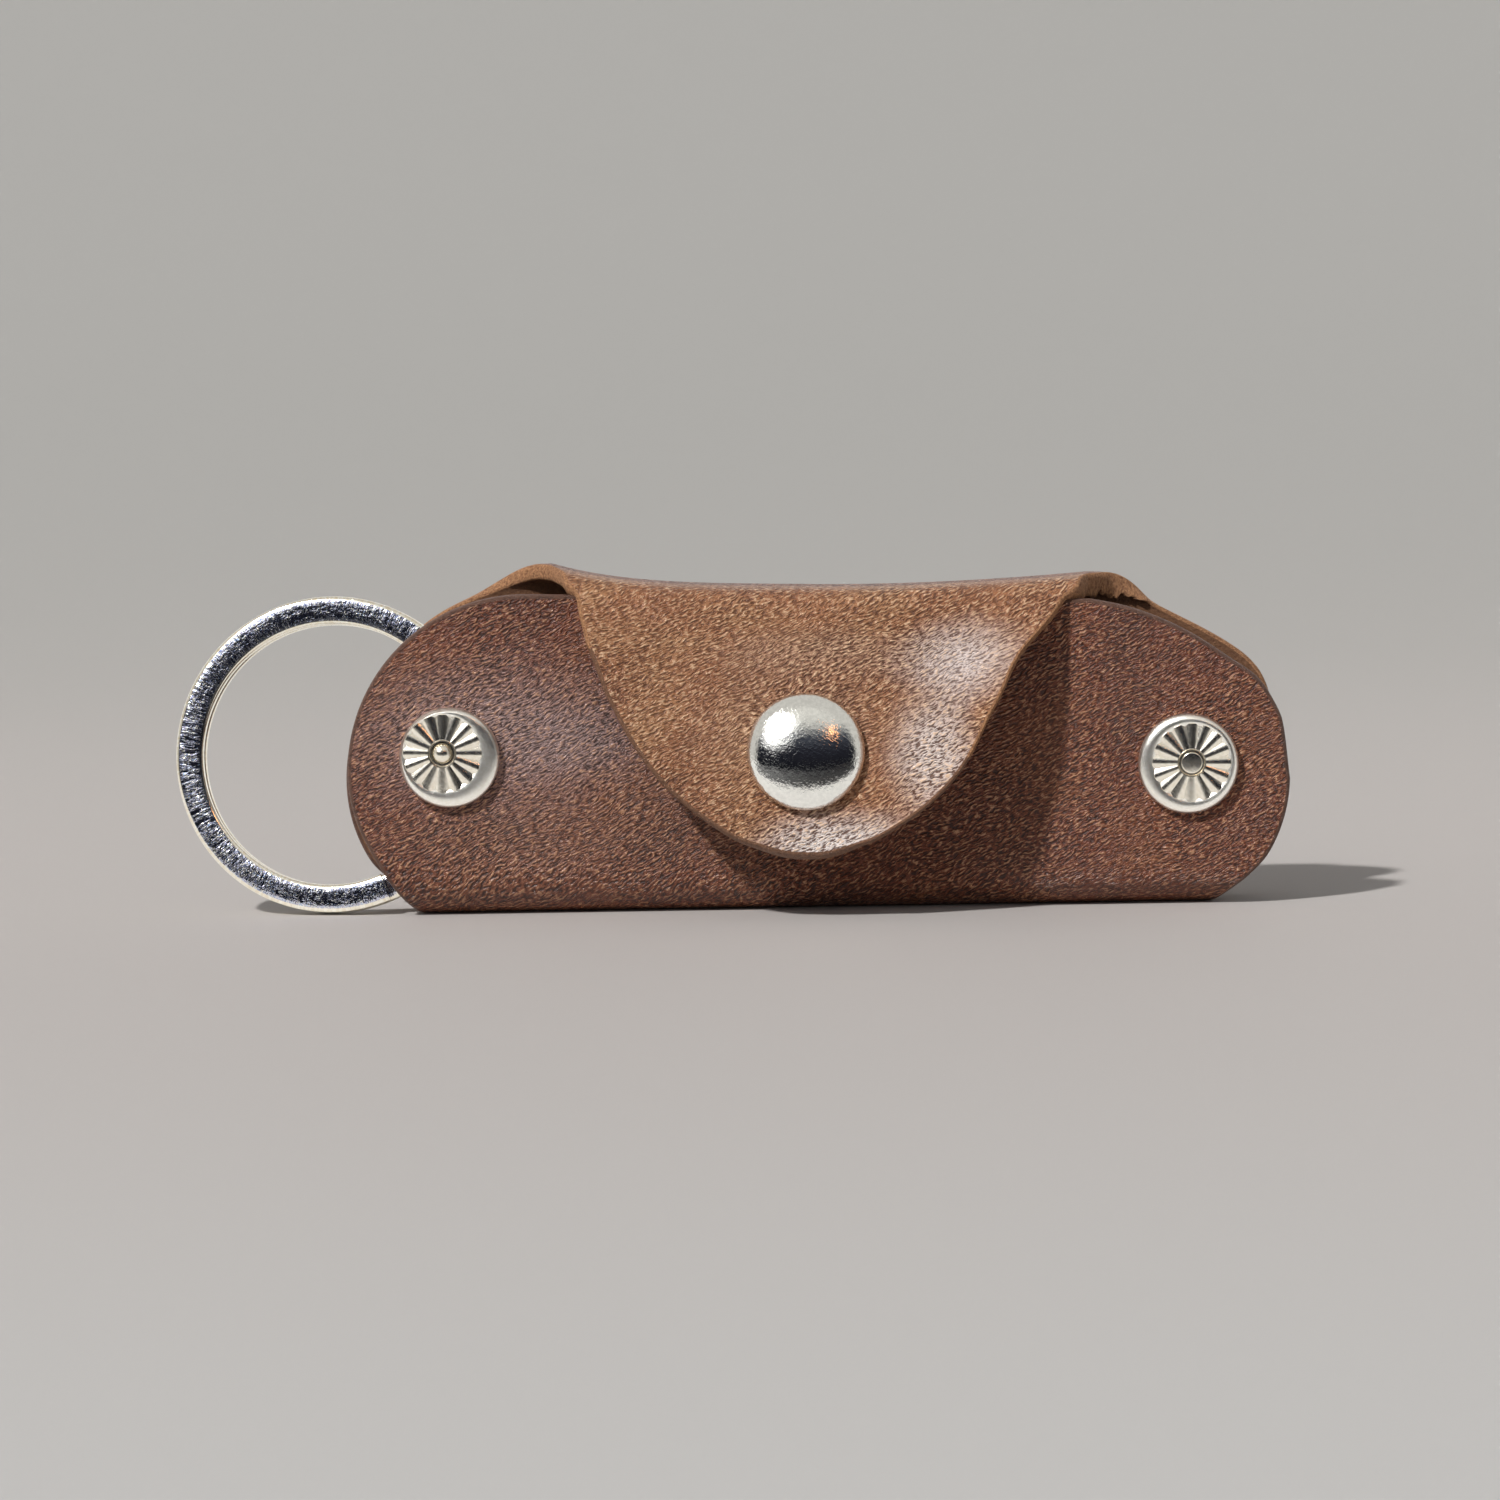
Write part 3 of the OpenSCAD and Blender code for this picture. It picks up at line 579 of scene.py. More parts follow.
def turned(name, profile, matrix, material, closed=False, segments=144):
    """A turned solid of a profile of (radius, height) points, placed by a matrix."""
    profile = np.array(profile, float)
    out, up = profile[:, 0], profile[:, 1]
    rings = []
    for k in range(segments):
        a = 2 * math.pi * k / segments
        rings.append(np.stack([out * math.cos(a), out * math.sin(a), up], axis=1))
    count = len(profile)
    faces = []
    for k in range(segments):
        n = (k + 1) % segments
        for i in range(count if closed else count - 1):
            j = (i + 1) % count
            faces.append((k * count + i, n * count + i, n * count + j, k * count + j))
    mesh = bpy.data.meshes.new(name)
    mesh.from_pydata((np.concatenate(rings) * MM).tolist(), [], faces)
    mesh.materials.append(material)
    mesh.polygons.foreach_set("use_smooth", [True] * len(mesh.polygons))
    obj = bpy.data.objects.new(name, mesh)
    bpy.context.collection.objects.link(obj)
    work = bmesh.new()
    work.from_mesh(mesh)
    bmesh.ops.remove_doubles(work, verts=work.verts, dist=0.002 * MM)
    bmesh.ops.dissolve_degenerate(work, edges=work.edges, dist=0.001 * MM)
    bmesh.ops.recalc_face_normals(work, faces=work.faces)
    work.to_mesh(mesh)
    work.free()
    mesh.set_sharp_from_angle(angle=math.radians(40))
    mesh.transform(matrix)
    return obj


def at_wall(x, z, y, back=False):
    """Places a turned solid on the skewed front wall, or on the back wall."""
    turn = Matrix.Rotation(math.radians(-90 if back else 90), 4, "X")
    return Matrix.Rotation(SKEW, 4, "Y") @ Matrix.Translation(Vector((x, y, z)) * MM) @ turn


def arc(middle, radius, first, last, count):
    """Points of an arc, with angles in degrees."""
    turns = np.radians(np.linspace(first, last, count))
    return [(middle[0] + radius * math.cos(a), middle[1] + radius * math.sin(a)) for a in turns]


TINT_MM = 0.4


def metal(name, tints, roughness, rubs, place=None):
    """Bare or plated metal: its colour is its reflection, two or more tints in fine patches.
    rubs are layers of rub marks, each (slant, size in mm, depth in mm, added roughness). Real
    marks are finer than a pixel, so they are drawn 0.1 mm wide or more. They follow the
    attribute that place names, or else the object, in the plane of the front wall."""
    material, tree = new_material(name)
    if place:
        place = add(tree, "ShaderNodeAttribute", {"attribute_name": place}).outputs["Vector"]
    else:
        place = add(tree, "ShaderNodeTexCoord").outputs["Object"]
        place = add(tree, "ShaderNodeVectorMath", {"operation": "SCALE"}, {0: place, "Scale": 1 / MM})
        place = add(tree, "ShaderNodeVectorRotate", {"rotation_type": "X_AXIS"}, {
            "Vector": place, "Angle": math.radians(-90)})
    marks, haze = 0.0, roughness
    for slant, size, depth, blur in rubs:
        mark = add(tree, "ShaderNodeMapRange", {"interpolation_type": "SMOOTHSTEP"}, {
            "Value": slanted_marks(tree, place, slant, size, 3.0, 0.6),
            "From Min": 0.4, "From Max": 0.68, "To Min": 0.0, "To Max": 1.0})
        marks = add(tree, "ShaderNodeMath", {"operation": "MULTIPLY_ADD"}, {0: mark, 1: depth, 2: marks})
        haze = add(tree, "ShaderNodeMath", {"operation": "MULTIPLY_ADD"}, {0: mark, 1: blur, 2: haze})
    relief = add(tree, "ShaderNodeBump", inputs={"Height": marks, "Strength": 1.0, "Distance": MM})
    stops = [(0.36 + 0.28 * k / (len(tints) - 1), tint) for k, tint in enumerate(tints)]
    colour = add(tree, "ShaderNodeValToRGB", {"stops": stops}, {
        "Fac": slanted_marks(tree, place, 0, (TINT_MM,) * 3, 2.0, 0.6)})
    skin = add(tree, "ShaderNodeBsdfPrincipled", inputs={
        "Base Color": colour, "Metallic": 1.0, "Roughness": haze, "Normal": relief})
    add(tree, "ShaderNodeOutputMaterial", inputs={"Surface": skin})
    return material


# Satin brushing of the rim gives a soft warm white with no clear image. The struck petals
# are brighter: each facet mirrors dark or light by its slope, a little blurred.
satin_nickel = metal("Satin nickel silver", ["F4F0E6", "FAF7F0"], 0.3, [
    (20, (0.5, 0.2, 0.4), 0.0005, 0.08), (100, (0.4, 0.2, 0.4), 0.0005, 0.04)])
struck_nickel = metal("Struck nickel silver", ["F4EEE2", "EAE2D2"], 0.19, [
    (60, (0.5, 0.25, 0.4), 0.002, 0.08)])

# The dish and its rolled rim, the petals, the collar round the pin, the pin, and the cap on
# the back.
HUB_R = 1.5
DISH_R = 4.15
RIM_R = 0.85
RIM_SET = 0.22
RIM_INSET = 0.45
DISH_LOW = 0.3
DISH_HIGH = 0.75
DISH_FLOOR = 0.45
RIDGE_H = 0.42
SCALLOP = 0.22
PETALS = 16
PETAL_T = 0.4
COLLAR_R = 0.17
COLLAR_BORE = 1.22
COLLAR_LOW = 0.5
PIN_R = 1.25
PIN_NECK = 1.15
PIN_TAIL = 0.9
PIN_LEAN_UP = (-0.5, 0.9)
BACK_CAP_R = 4.45
BACK_CAP_H = 1.7
BACK_CAP_LIP = 0.3
BACK_CAP_BORE = 1.4
BACK_CAP_INSET = 0.15
BACK_CAP_FLOOR = 0.95


def group_tree(name, sizes):
    """A Geometry Nodes tree with named inputs and an output, and its inputs' sockets."""
    tree = bpy.data.node_groups.new(name, "GeometryNodeTree")
    for label, kind in sizes:
        tree.interface.new_socket(name=label, in_out="INPUT", socket_type=kind)
    tree.interface.new_socket(name="Geometry", in_out="OUTPUT", socket_type="NodeSocketGeometry")
    return tree, add(tree, "NodeGroupInput").outputs


def made_by_nodes(name, tree, values):
    """A plain mesh object that a Geometry Nodes tree makes with these input values."""
    obj = bpy.data.objects.new(name, bpy.data.meshes.new(name))
    bpy.context.collection.objects.link(obj)
    maker = obj.modifiers.new("Maker", "NODES")
    maker.node_group = tree
    for item in tree.interface.items_tree:
        if item.in_out == "INPUT" and item.name in values:
            maker[item.identifier] = values[item.name]
    graph = bpy.context.evaluated_depsgraph_get()
    mesh = bpy.data.meshes.new_from_object(obj.evaluated_get(graph))
    obj.modifiers.remove(maker)
    obj.data = mesh
    return obj


# One petal is a grid bent to a wedge with a raised middle. Its outer edge is scalloped, and
# its ridge swells outwards. It is repeated round the dish, and the sheet of petals is
# thickened downwards.
petal_tree, sizes = group_tree("Struck petals", [
    ("Petals", "NodeSocketInt"), ("Hub radius", "NodeSocketFloat"), ("Dish radius", "NodeSocketFloat"),
    ("Dish low", "NodeSocketFloat"), ("Dish high", "NodeSocketFloat"), ("Ridge height", "NodeSocketFloat"),
    ("Scallop", "NodeSocketFloat"), ("Thickness", "NodeSocketFloat"), ("Metal", "NodeSocketMaterial")])
petal = add(petal_tree, "GeometryNodeMeshGrid", inputs={
    "Size X": 1.0, "Size Y": 1.0, "Vertices X": 14, "Vertices Y": 11})
spot = add(petal_tree, "ShaderNodeSeparateXYZ", inputs={
    0: add(petal_tree, "GeometryNodeInputPosition")}).outputs
outward = add(petal_tree, "ShaderNodeMath", {"operation": "ADD"}, {0: spot["X"], 1: 0.5})
petal_turn = add(petal_tree, "ShaderNodeMath", {"operation": "DIVIDE"}, {0: math.tau, 1: sizes["Petals"]})
sideways = add(petal_tree, "ShaderNodeMath", {"operation": "ABSOLUTE"}, {0: spot["Y"]})
sideways = add(petal_tree, "ShaderNodeMath", {"operation": "MULTIPLY"}, {0: sideways, 1: 2.0})

radius = add(petal_tree, "ShaderNodeMapRange", inputs={
    "Value": outward, "To Min": sizes["Hub radius"], "To Max": sizes["Dish radius"]})
scallop = add(petal_tree, "ShaderNodeMath", {"operation": "POWER"}, {0: outward, 1: 6.0})
scallop = add(petal_tree, "ShaderNodeMath", {"operation": "MULTIPLY"}, {0: sizes["Scallop"], 1: scallop})
cut_in = add(petal_tree, "ShaderNodeMath", {"operation": "POWER"}, {0: sideways, 1: 2.0})
cut_in = add(petal_tree, "ShaderNodeMath", {"operation": "MULTIPLY"}, {0: cut_in, 1: scallop})
radius = add(petal_tree, "ShaderNodeMath", {"operation": "SUBTRACT"}, {0: radius, 1: cut_in})

floor_z = add(petal_tree, "ShaderNodeMapRange", inputs={
    "Value": outward, "To Min": sizes["Dish high"], "To Max": sizes["Dish low"]})
ridge = add(petal_tree, "ShaderNodeMath", {"operation": "POWER"}, {0: sideways, 1: 1.4})
ridge = add(petal_tree, "ShaderNodeMath", {"operation": "SUBTRACT"}, {0: 1.0, 1: ridge})
swell = add(petal_tree, "ShaderNodeMath", {"operation": "MULTIPLY_ADD"}, {0: outward, 1: 0.7, 2: 0.3})
ridge = add(petal_tree, "ShaderNodeMath", {"operation": "MULTIPLY"}, {0: ridge, 1: swell})
top_z = add(petal_tree, "ShaderNodeMath", {"operation": "MULTIPLY_ADD"}, {
    0: ridge, 1: sizes["Ridge height"], 2: floor_z})

turn = add(petal_tree, "ShaderNodeMath", {"operation": "MULTIPLY"}, {0: spot["Y"], 1: petal_turn})
bent = {2: top_z}
for k, part in enumerate(("COSINE", "SINE")):
    part = add(petal_tree, "ShaderNodeMath", {"operation": part}, {0: turn})
    bent[k] = add(petal_tree, "ShaderNodeMath", {"operation": "MULTIPLY"}, {0: radius, 1: part})
petal = add(petal_tree, "GeometryNodeSetPosition", inputs={
    "Geometry": petal, "Position": add(petal_tree, "ShaderNodeCombineXYZ", inputs=bent)})

places = add(petal_tree, "GeometryNodePoints", inputs={"Count": sizes["Petals"]})
spin = add(petal_tree, "ShaderNodeMath", {"operation": "MULTIPLY"}, {
    0: add(petal_tree, "GeometryNodeInputIndex"), 1: petal_turn})
spin = add(petal_tree, "ShaderNodeCombineXYZ", inputs={2: spin})
petals = add(petal_tree, "GeometryNodeInstanceOnPoints", inputs={
    "Points": places, "Instance": petal, "Rotation": spin})
petals = add(petal_tree, "GeometryNodeRealizeInstances", inputs={0: petals})
petals = add(petal_tree, "GeometryNodeMergeByDistance", inputs={"Geometry": petals, "Distance": 0.004})
under = add(petal_tree, "GeometryNodeExtrudeMesh", inputs={
    "Mesh": petals, "Offset": (0, 0, -1), "Offset Scale": sizes["Thickness"], "Individual": False})
both = add(petal_tree, "GeometryNodeJoinGeometry")
petal_tree.links.new(petals.outputs[0], both.inputs[0])
petal_tree.links.new(under.outputs[0], both.inputs[0])
whole = add(petal_tree, "GeometryNodeMergeByDistance", inputs={"Geometry": both, "Distance": 0.002})
whole = add(petal_tree, "GeometryNodeSetShadeSmooth", inputs={"Geometry": whole})
whole = add(petal_tree, "GeometryNodeSetMaterial", inputs={"Geometry": whole, "Material": sizes["Metal"]})
add(petal_tree, "NodeGroupOutput", inputs={0: whole})


def joined(name, pieces):
    """Several mesh objects made one, with their materials kept."""
    with bpy.context.temp_override(active_object=pieces[0], selected_editable_objects=pieces):
        bpy.ops.object.join()
    pieces[0].name = name
    pieces[0].data.name = name
    return pieces[0]


def rivet_head(side, x, shift):
    """A head whose dish was struck a little off the middle of its rim, by shift in X and Z."""
    profile = arc((RIVET_R - RIM_R, RIM_SET), RIM_R, -70, 200, 28) + [
        (DISH_R - RIM_INSET, DISH_FLOOR), (PIN_R, DISH_FLOOR), (PIN_R, 0.0)]
    rim = turned(side + "_rim", profile, Matrix.Identity(4), satin_nickel, closed=True)
    profile = arc((HUB_R, DISH_HIGH), COLLAR_R, -90, 180, 12) + [
        (COLLAR_BORE, DISH_HIGH), (COLLAR_BORE, COLLAR_LOW)]
    collar = turned(side + "_collar", profile, Matrix.Identity(4), struck_nickel, closed=True, segments=64)
    petals = made_by_nodes(side + "_petals", petal_tree, {
        "Petals": PETALS, "Hub radius": HUB_R, "Dish radius": DISH_R, "Dish low": DISH_LOW,
        "Dish high": DISH_HIGH, "Ridge height": RIDGE_H, "Scallop": SCALLOP, "Thickness": PETAL_T,
        "Metal": struck_nickel})
    petals.data.transform(Matrix.Scale(MM, 4))
    face_outwards(petals)
    head = joined(side + "_rivet_head", [rim, collar, petals])
    for vertex in head.data.vertices:
        out = math.hypot(vertex.co.x, vertex.co.y) / MM
        share = 1 - smooth_between(DISH_R - 0.1, RIVET_R - 0.1, out)
        vertex.co.x += shift[0] * MM * share
        vertex.co.y += shift[1] * MM * share
    head.data.transform(at_wall(x, RIVET_Z, -WALL_OUT))
    head.data.set_sharp_from_angle(angle=math.radians(38))
    return head


def rivet(side, x, shift, hold, tip):
    """The three pieces of one rivet, with its shank off the middle by hold in X and Z. tip is
    the profile of the pin's end over the leather."""
    head = rivet_head(side, x, shift)
    shank = 2 * WALL_OUT + PIN_TAIL
    profile = [(0, -shank), (PIN_NECK, -shank), (PIN_R, -shank + 0.1), (PIN_R, 0.3), (PIN_NECK, 0.32)]
    pin = turned(side + "_rivet_pin", profile + tip, Matrix.Identity(4), struck_nickel, segments=72)
    for vertex in pin.data.vertices:
        share = smooth_between(*PIN_LEAN_UP, vertex.co.z / MM)
        vertex.co.x += (hold[0] * (1 - share) + shift[0] * share) * MM
        vertex.co.y += (hold[1] * (1 - share) + shift[1] * share) * MM
    pin.data.transform(at_wall(x, RIVET_Z, -WALL_OUT))
    lip = BACK_CAP_R - BACK_CAP_INSET
    shoulder = BACK_CAP_LIP + BACK_CAP_INSET
    profile = [(BACK_CAP_BORE, 0), (lip, 0)] + arc((lip, BACK_CAP_LIP), BACK_CAP_LIP, -80, 20, 6)
    profile += [(BACK_CAP_R * math.sin(a), shoulder + (BACK_CAP_H - shoulder) * math.cos(a) ** 1.2)
                for a in np.radians(np.arange(84, 0, -6))]
    profile += [(0, BACK_CAP_H), (0, BACK_CAP_FLOOR), (BACK_CAP_BORE, BACK_CAP_FLOOR)]
    cap = turned(side + "_rivet_cap", profile,
                 at_wall(x + hold[0], RIVET_Z + hold[1], WALL_OUT, back=True), satin_nickel, closed=True)
    for piece, node in ((head, "head"), (pin, "pin"), (cap, "cap")):
        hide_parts(side.lower() + "_rivet_" + node)
        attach(piece, "case")


# The left pin is peened to a ball, and the right one to a flat button.
ball_tip = arc((0, 0.75), 1.12, -8, 88, 16) + [(0, 1.87)]
button_tip = [(PIN_NECK, 1.2)] + arc((0.98, 1.22), 0.17, 0, 90, 6) + [(0.5, 1.44), (0, 1.46)]
rivet("Left", -RIVET_X, shift=(-0.72, 0.5), hold=(-0.8, 0.7), tip=ball_tip)
rivet("Right", RIVET_X, shift=(0.3, 0.16), hold=(0, 0), tip=button_tip)


# Press stud
# A domed nickel-plated cap sits on the flap, over a socket with a wire spring. The stud on
# the front wall is held by a post from inside the pocket.

# The cap is polished, so the eye sees the room in it, a little wavy and cut by scratches
# that cross. The plating over bare brass is duller and yellower. Drawn wire is grey, with
# fine streaks.
cap_nickel = metal("Polished nickel plate", ["F0EFEA", "E4E3DE"], 0.03, [
    (35, (0.38, 0.32, 0.38), 0.007, 0.0), (-50, (1.8, 0.2, 1.8), 0.002, 0.0),
    (5, (2.5, 2.0, 2.0), 0.0, 0.04)])
plated_brass = metal("Nickel-plated brass", ["C9C3B4", "CFCABD"], 0.22, [(30, (0.5, 0.2, 0.3), 0.004, 0.1)])
spring_steel = metal("Drawn spring wire", ["B4B4B2", "BCBCBA"], 0.26, [(0, (0.5, 0.1, 0.3), 0.003, 0.08)])

CAP_H = 2.76
CAP_ROLL = 0.42
CAP_SHOULDER = 0.45
CAP_UNDER = -0.05
FLAP_OUT = WALL_OUT + SNAP_STACK + LEATHER_T
profile = [(0, CAP_UNDER), (CAP_R - 0.5, CAP_UNDER)] + arc((CAP_R - CAP_ROLL, 0.4), CAP_ROLL, -80, 10, 8)
profile += [(CAP_R * math.sin(a), CAP_SHOULDER + (CAP_H - CAP_SHOULDER) * math.cos(a) ** 1.15)
            for a in np.radians(np.arange(86, 0, -2))]
cap = turned("Snap_cap", profile + [(0, CAP_H)],
             at_wall(SNAP_X, SNAP_Z, -FLAP_OUT) @ Matrix.Rotation(-SEAT_TIP, 4, "X"), cap_nickel,
             segments=192)
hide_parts("snap_cap")
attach(cap, "flap")
for node, material in (("snap_socket", plated_brass), ("snap_stud", plated_brass),
                       ("snap_post", plated_brass), ("snap_spring", spring_steel)):
    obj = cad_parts[node]
    obj.data.materials.clear()
    obj.data.materials.append(material)


# Split ring
# One length of flat nickel-plated steel wire wound in two turns. Near its ends it steps
# from the back turn to the front one. It hangs on the left rivet's pin.

# Keys have rubbed and dented the plating. The flat sides are tinted blue, violet and white in flecks, a
# painted reflection of the room that the dents would mirror. Its rounded edges are worn smooth and warm.
ring_steel_painted_reflections = metal("Nickel-plated ring steel", ["8E95B0", "D6DAE4", "A09EBA", "F0ECDE", "AAB8D2"], 0.07, [
    (0, (0.4, 0.4, 1.4), 0.022, 0.05), (0, (1.0, 1.0, 0.5), 0.016, 0.05)], "coil")
ring_edge = metal("Nickel-plated ring steel, rubbed edge", ["E6DCC8", "F2EEE4"], 0.12, [], "coil")

# The wire and its two turns. Angles are in degrees, but END_GAP is in radians.
RING_R = 17.0
WIRE_W = 3.0
WIRE_T = 1.36
WIRE_ROUND = 0.58
COIL_PITCH = 1.44
RING_END = -48.0
RING_STEP = 18.0
RING_POINTS = 560
END_GAP = 0.02

# The ring leans back, toes in and hangs from a point on the pin, which lies RING_REACH from
# the ring's middle, RING_RISE off its widest line.
RING_LEAN = 9.5
RING_TOE = 7.0
RING_HOLD = Vector((-39.6751, -0.3, 17.8747))
RING_REACH = 12.2238
RING_RISE = math.radians(-4.4228)
FLAT_SIDE = 0.965

coil_tree, sizes = group_tree("Split ring wire", [
    ("Middle radius", "NodeSocketFloat"), ("Wire width", "NodeSocketFloat"),
    ("Wire thickness", "NodeSocketFloat"), ("Pitch", "NodeSocketFloat"), ("End angle", "NodeSocketFloat"),
    ("Step angle", "NodeSocketFloat"), ("Points", "NodeSocketInt"), ("Roundness", "NodeSocketFloat"),
    ("Steel", "NodeSocketMaterial")])
line = add(coil_tree, "GeometryNodeMeshLine", inputs={"Count": sizes["Points"]})
last = add(coil_tree, "ShaderNodeMath", {"operation": "SUBTRACT"}, {0: sizes["Points"], 1: 1.0})
share = add(coil_tree, "ShaderNodeMath", {"operation": "DIVIDE"}, {
    0: add(coil_tree, "GeometryNodeInputIndex"), 1: last})
travel = add(coil_tree, "ShaderNodeMath", {"operation": "SUBTRACT"}, {
    0: 2 * math.tau - END_GAP, 1: sizes["Step angle"]})
wound = add(coil_tree, "ShaderNodeMath", {"operation": "MULTIPLY"}, {0: share, 1: travel})
angle = add(coil_tree, "ShaderNodeMath", {"operation": "ADD"}, {0: sizes["End angle"], 1: wound})
step_from = add(coil_tree, "ShaderNodeMath", {"operation": "SUBTRACT"}, {0: math.tau, 1: sizes["Step angle"]})
back_turn = add(coil_tree, "ShaderNodeMath", {"operation": "MULTIPLY"}, {0: sizes["Pitch"], 1: -0.5})
front_turn = add(coil_tree, "ShaderNodeMath", {"operation": "MULTIPLY"}, {0: sizes["Pitch"], 1: 0.5})
wind = {2: add(coil_tree, "ShaderNodeMapRange", {"interpolation_type": "SMOOTHSTEP"}, {
    "Value": wound, "From Min": step_from, "From Max": math.tau, "To Min": back_turn, "To Max": front_turn})}
for k, part in enumerate(("COSINE", "SINE")):
    part = add(coil_tree, "ShaderNodeMath", {"operation": part}, {0: angle})
    wind[k] = add(coil_tree, "ShaderNodeMath", {"operation": "MULTIPLY"}, {
        0: sizes["Middle radius"], 1: part})
line = add(coil_tree, "GeometryNodeSetPosition", inputs={
    "Geometry": line, "Position": add(coil_tree, "ShaderNodeCombineXYZ", inputs=wind)})
curve = add(coil_tree, "GeometryNodeMeshToCurve", inputs={0: line})
curve = add(coil_tree, "GeometryNodeSetCurveNormal", {"mode": "Z_UP"}, {0: curve})

# The wire's section is a circle drawn out to a rounded rectangle.
section = add(coil_tree, "GeometryNodeCurvePrimitiveCircle", inputs={"Resolution": 40, "Radius": 1.0})
spot = add(coil_tree, "ShaderNodeSeparateXYZ", inputs={
    0: add(coil_tree, "GeometryNodeInputPosition")}).outputs
drawn = {}
for k, (axis, size) in enumerate((("X", "Wire width"), ("Y", "Wire thickness"))):
    reach = add(coil_tree, "ShaderNodeMath", {"operation": "ABSOLUTE"}, {0: spot[axis]})
    reach = add(coil_tree, "ShaderNodeMath", {"operation": "POWER"}, {0: reach, 1: sizes["Roundness"]})
    way = add(coil_tree, "ShaderNodeMath", {"operation": "SIGN"}, {0: spot[axis]})
    reach = add(coil_tree, "ShaderNodeMath", {"operation": "MULTIPLY"}, {0: reach, 1: way})
    reach = add(coil_tree, "ShaderNodeMath", {"operation": "MULTIPLY"}, {0: reach, 1: 0.5})
    drawn[k] = add(coil_tree, "ShaderNodeMath", {"operation": "MULTIPLY"}, {0: reach, 1: sizes[size]})
section = add(coil_tree, "GeometryNodeSetPosition", inputs={
    "Geometry": section, "Position": add(coil_tree, "ShaderNodeCombineXYZ", inputs=drawn)})
wire = add(coil_tree, "GeometryNodeCurveToMesh", inputs={
    "Curve": curve, "Profile Curve": section, "Fill Caps": True})
wire = add(coil_tree, "GeometryNodeSetShadeSmooth", inputs={"Geometry": wire})
wire = add(coil_tree, "GeometryNodeSetMaterial", inputs={"Geometry": wire, "Material": sizes["Steel"]})
add(coil_tree, "NodeGroupOutput", inputs={0: wire})

ring = made_by_nodes("Split_ring", coil_tree, {
    "Middle radius": RING_R - WIRE_W / 2, "Wire width": WIRE_W, "Wire thickness": WIRE_T, "Pitch": COIL_PITCH,
    "End angle": math.radians(RING_END), "Step angle": math.radians(RING_STEP), "Points": RING_POINTS,
    "Roundness": WIRE_ROUND, "Steel": ring_steel_painted_reflections})
ring.data.materials.append(ring_edge)
for face in ring.data.polygons:
    if abs(face.normal.z) < FLAT_SIDE:
        face.material_index = 1
coil = ring.data.attributes.new("coil", "FLOAT_VECTOR", "POINT")
for vertex, mark in zip(ring.data.vertices, coil.data):
    x, y, z = vertex.co
    reach = math.hypot(x, y)
    mark.vector = (RING_R * x / reach, RING_R * y / reach, reach + z)
from_hold = Vector((-RING_REACH * math.cos(RING_RISE), RING_REACH * math.sin(RING_RISE), 0))
ring_place = (Matrix.Translation(RING_HOLD * MM) @ Matrix.Rotation(math.radians(-RING_TOE), 4, "Z")
              @ Matrix.Rotation(math.radians(90 - RING_LEAN), 4, "X") @ Matrix.Translation(from_hold * MM))
ring.data.transform(ring_place @ Matrix.Scale(MM, 4))
face_outwards(ring)
ring.data.set_sharp_from_angle(angle=math.radians(30))
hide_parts("split_ring")
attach(ring, "ring")


# Floor, light and camera
# A pale sweep of paper, one soft lamp at the front left, and the camera at the front. The
# sizes here are in metres.

# Matt grey paper, painted paler in front and darker behind as painted light falloff. In polished metal it is
# painted bright near the case, a painted reflection, and dark in a sector further in front, painted shade as
# an unlit floor would be.
PAPER_FRONT, PAPER_BACK = (-0.45, -0.02), (0.03, 0.45)
DARK_FROM = (-0.052, -0.056)
DARK_SLANT = 1.7
DARK_SIDE = (-0.01, 0.03)
material, tree = new_material("Sweep of grey paper")
place = add(tree, "ShaderNodeTexCoord").outputs["Object"]
spot = add(tree, "ShaderNodeSeparateXYZ", inputs={0: place}).outputs
# Painted light falloff: the paper is paler in front and darker behind.
fade = add(tree, "ShaderNodeMapRange", {"interpolation_type": "SMOOTHSTEP"}, {
    "Value": spot["Y"], "From Min": PAPER_FRONT[0], "From Max": PAPER_FRONT[1]})
paper = add(tree, "ShaderNodeMix", {"data_type": "RGBA"}, {0: fade, 6: "C6C5C2", 7: "B7B1AD"}).outputs[2]
fade = add(tree, "ShaderNodeMapRange", {"interpolation_type": "SMOOTHSTEP"}, {
    "Value": spot["Y"], "From Min": PAPER_BACK[0], "From Max": PAPER_BACK[1]})
paper = add(tree, "ShaderNodeMix", {"data_type": "RGBA"}, {0: fade, 6: paper, 7: "A19F9B"}).outputs[2]
# Painted shade seen only in metal: the dark sector of paper ahead of the case, and painted reflection of
# bright paper elsewhere.
ahead = add(tree, "ShaderNodeMapRange", {"interpolation_type": "SMOOTHSTEP"}, {
    "Value": spot["Y"], "From Min": DARK_FROM[0], "From Max": DARK_FROM[1]})
beside = add(tree, "ShaderNodeMath", {"operation": "ABSOLUTE"}, {0: spot["X"]})
beside = add(tree, "ShaderNodeMath", {"operation": "MULTIPLY_ADD"}, {0: spot["Y"], 1: DARK_SLANT, 2: beside})
beside = add(tree, "ShaderNodeMapRange", {"interpolation_type": "SMOOTHSTEP"}, {
    "Value": beside, "From Min": DARK_SIDE[0], "From Max": DARK_SIDE[1], "To Min": 1.0, "To Max": 0.0})
unlit = add(tree, "ShaderNodeMath", {"operation": "MULTIPLY"}, {0: ahead, 1: beside})
paper_painted_for_metal = add(tree, "ShaderNodeMix", {"data_type": "RGBA"}, {0: unlit, 6: "F4F2EE", 7: "0E0E12"}).outputs[2]
mirrored = add(tree, "ShaderNodeLightPath").outputs["Is Glossy Ray"]
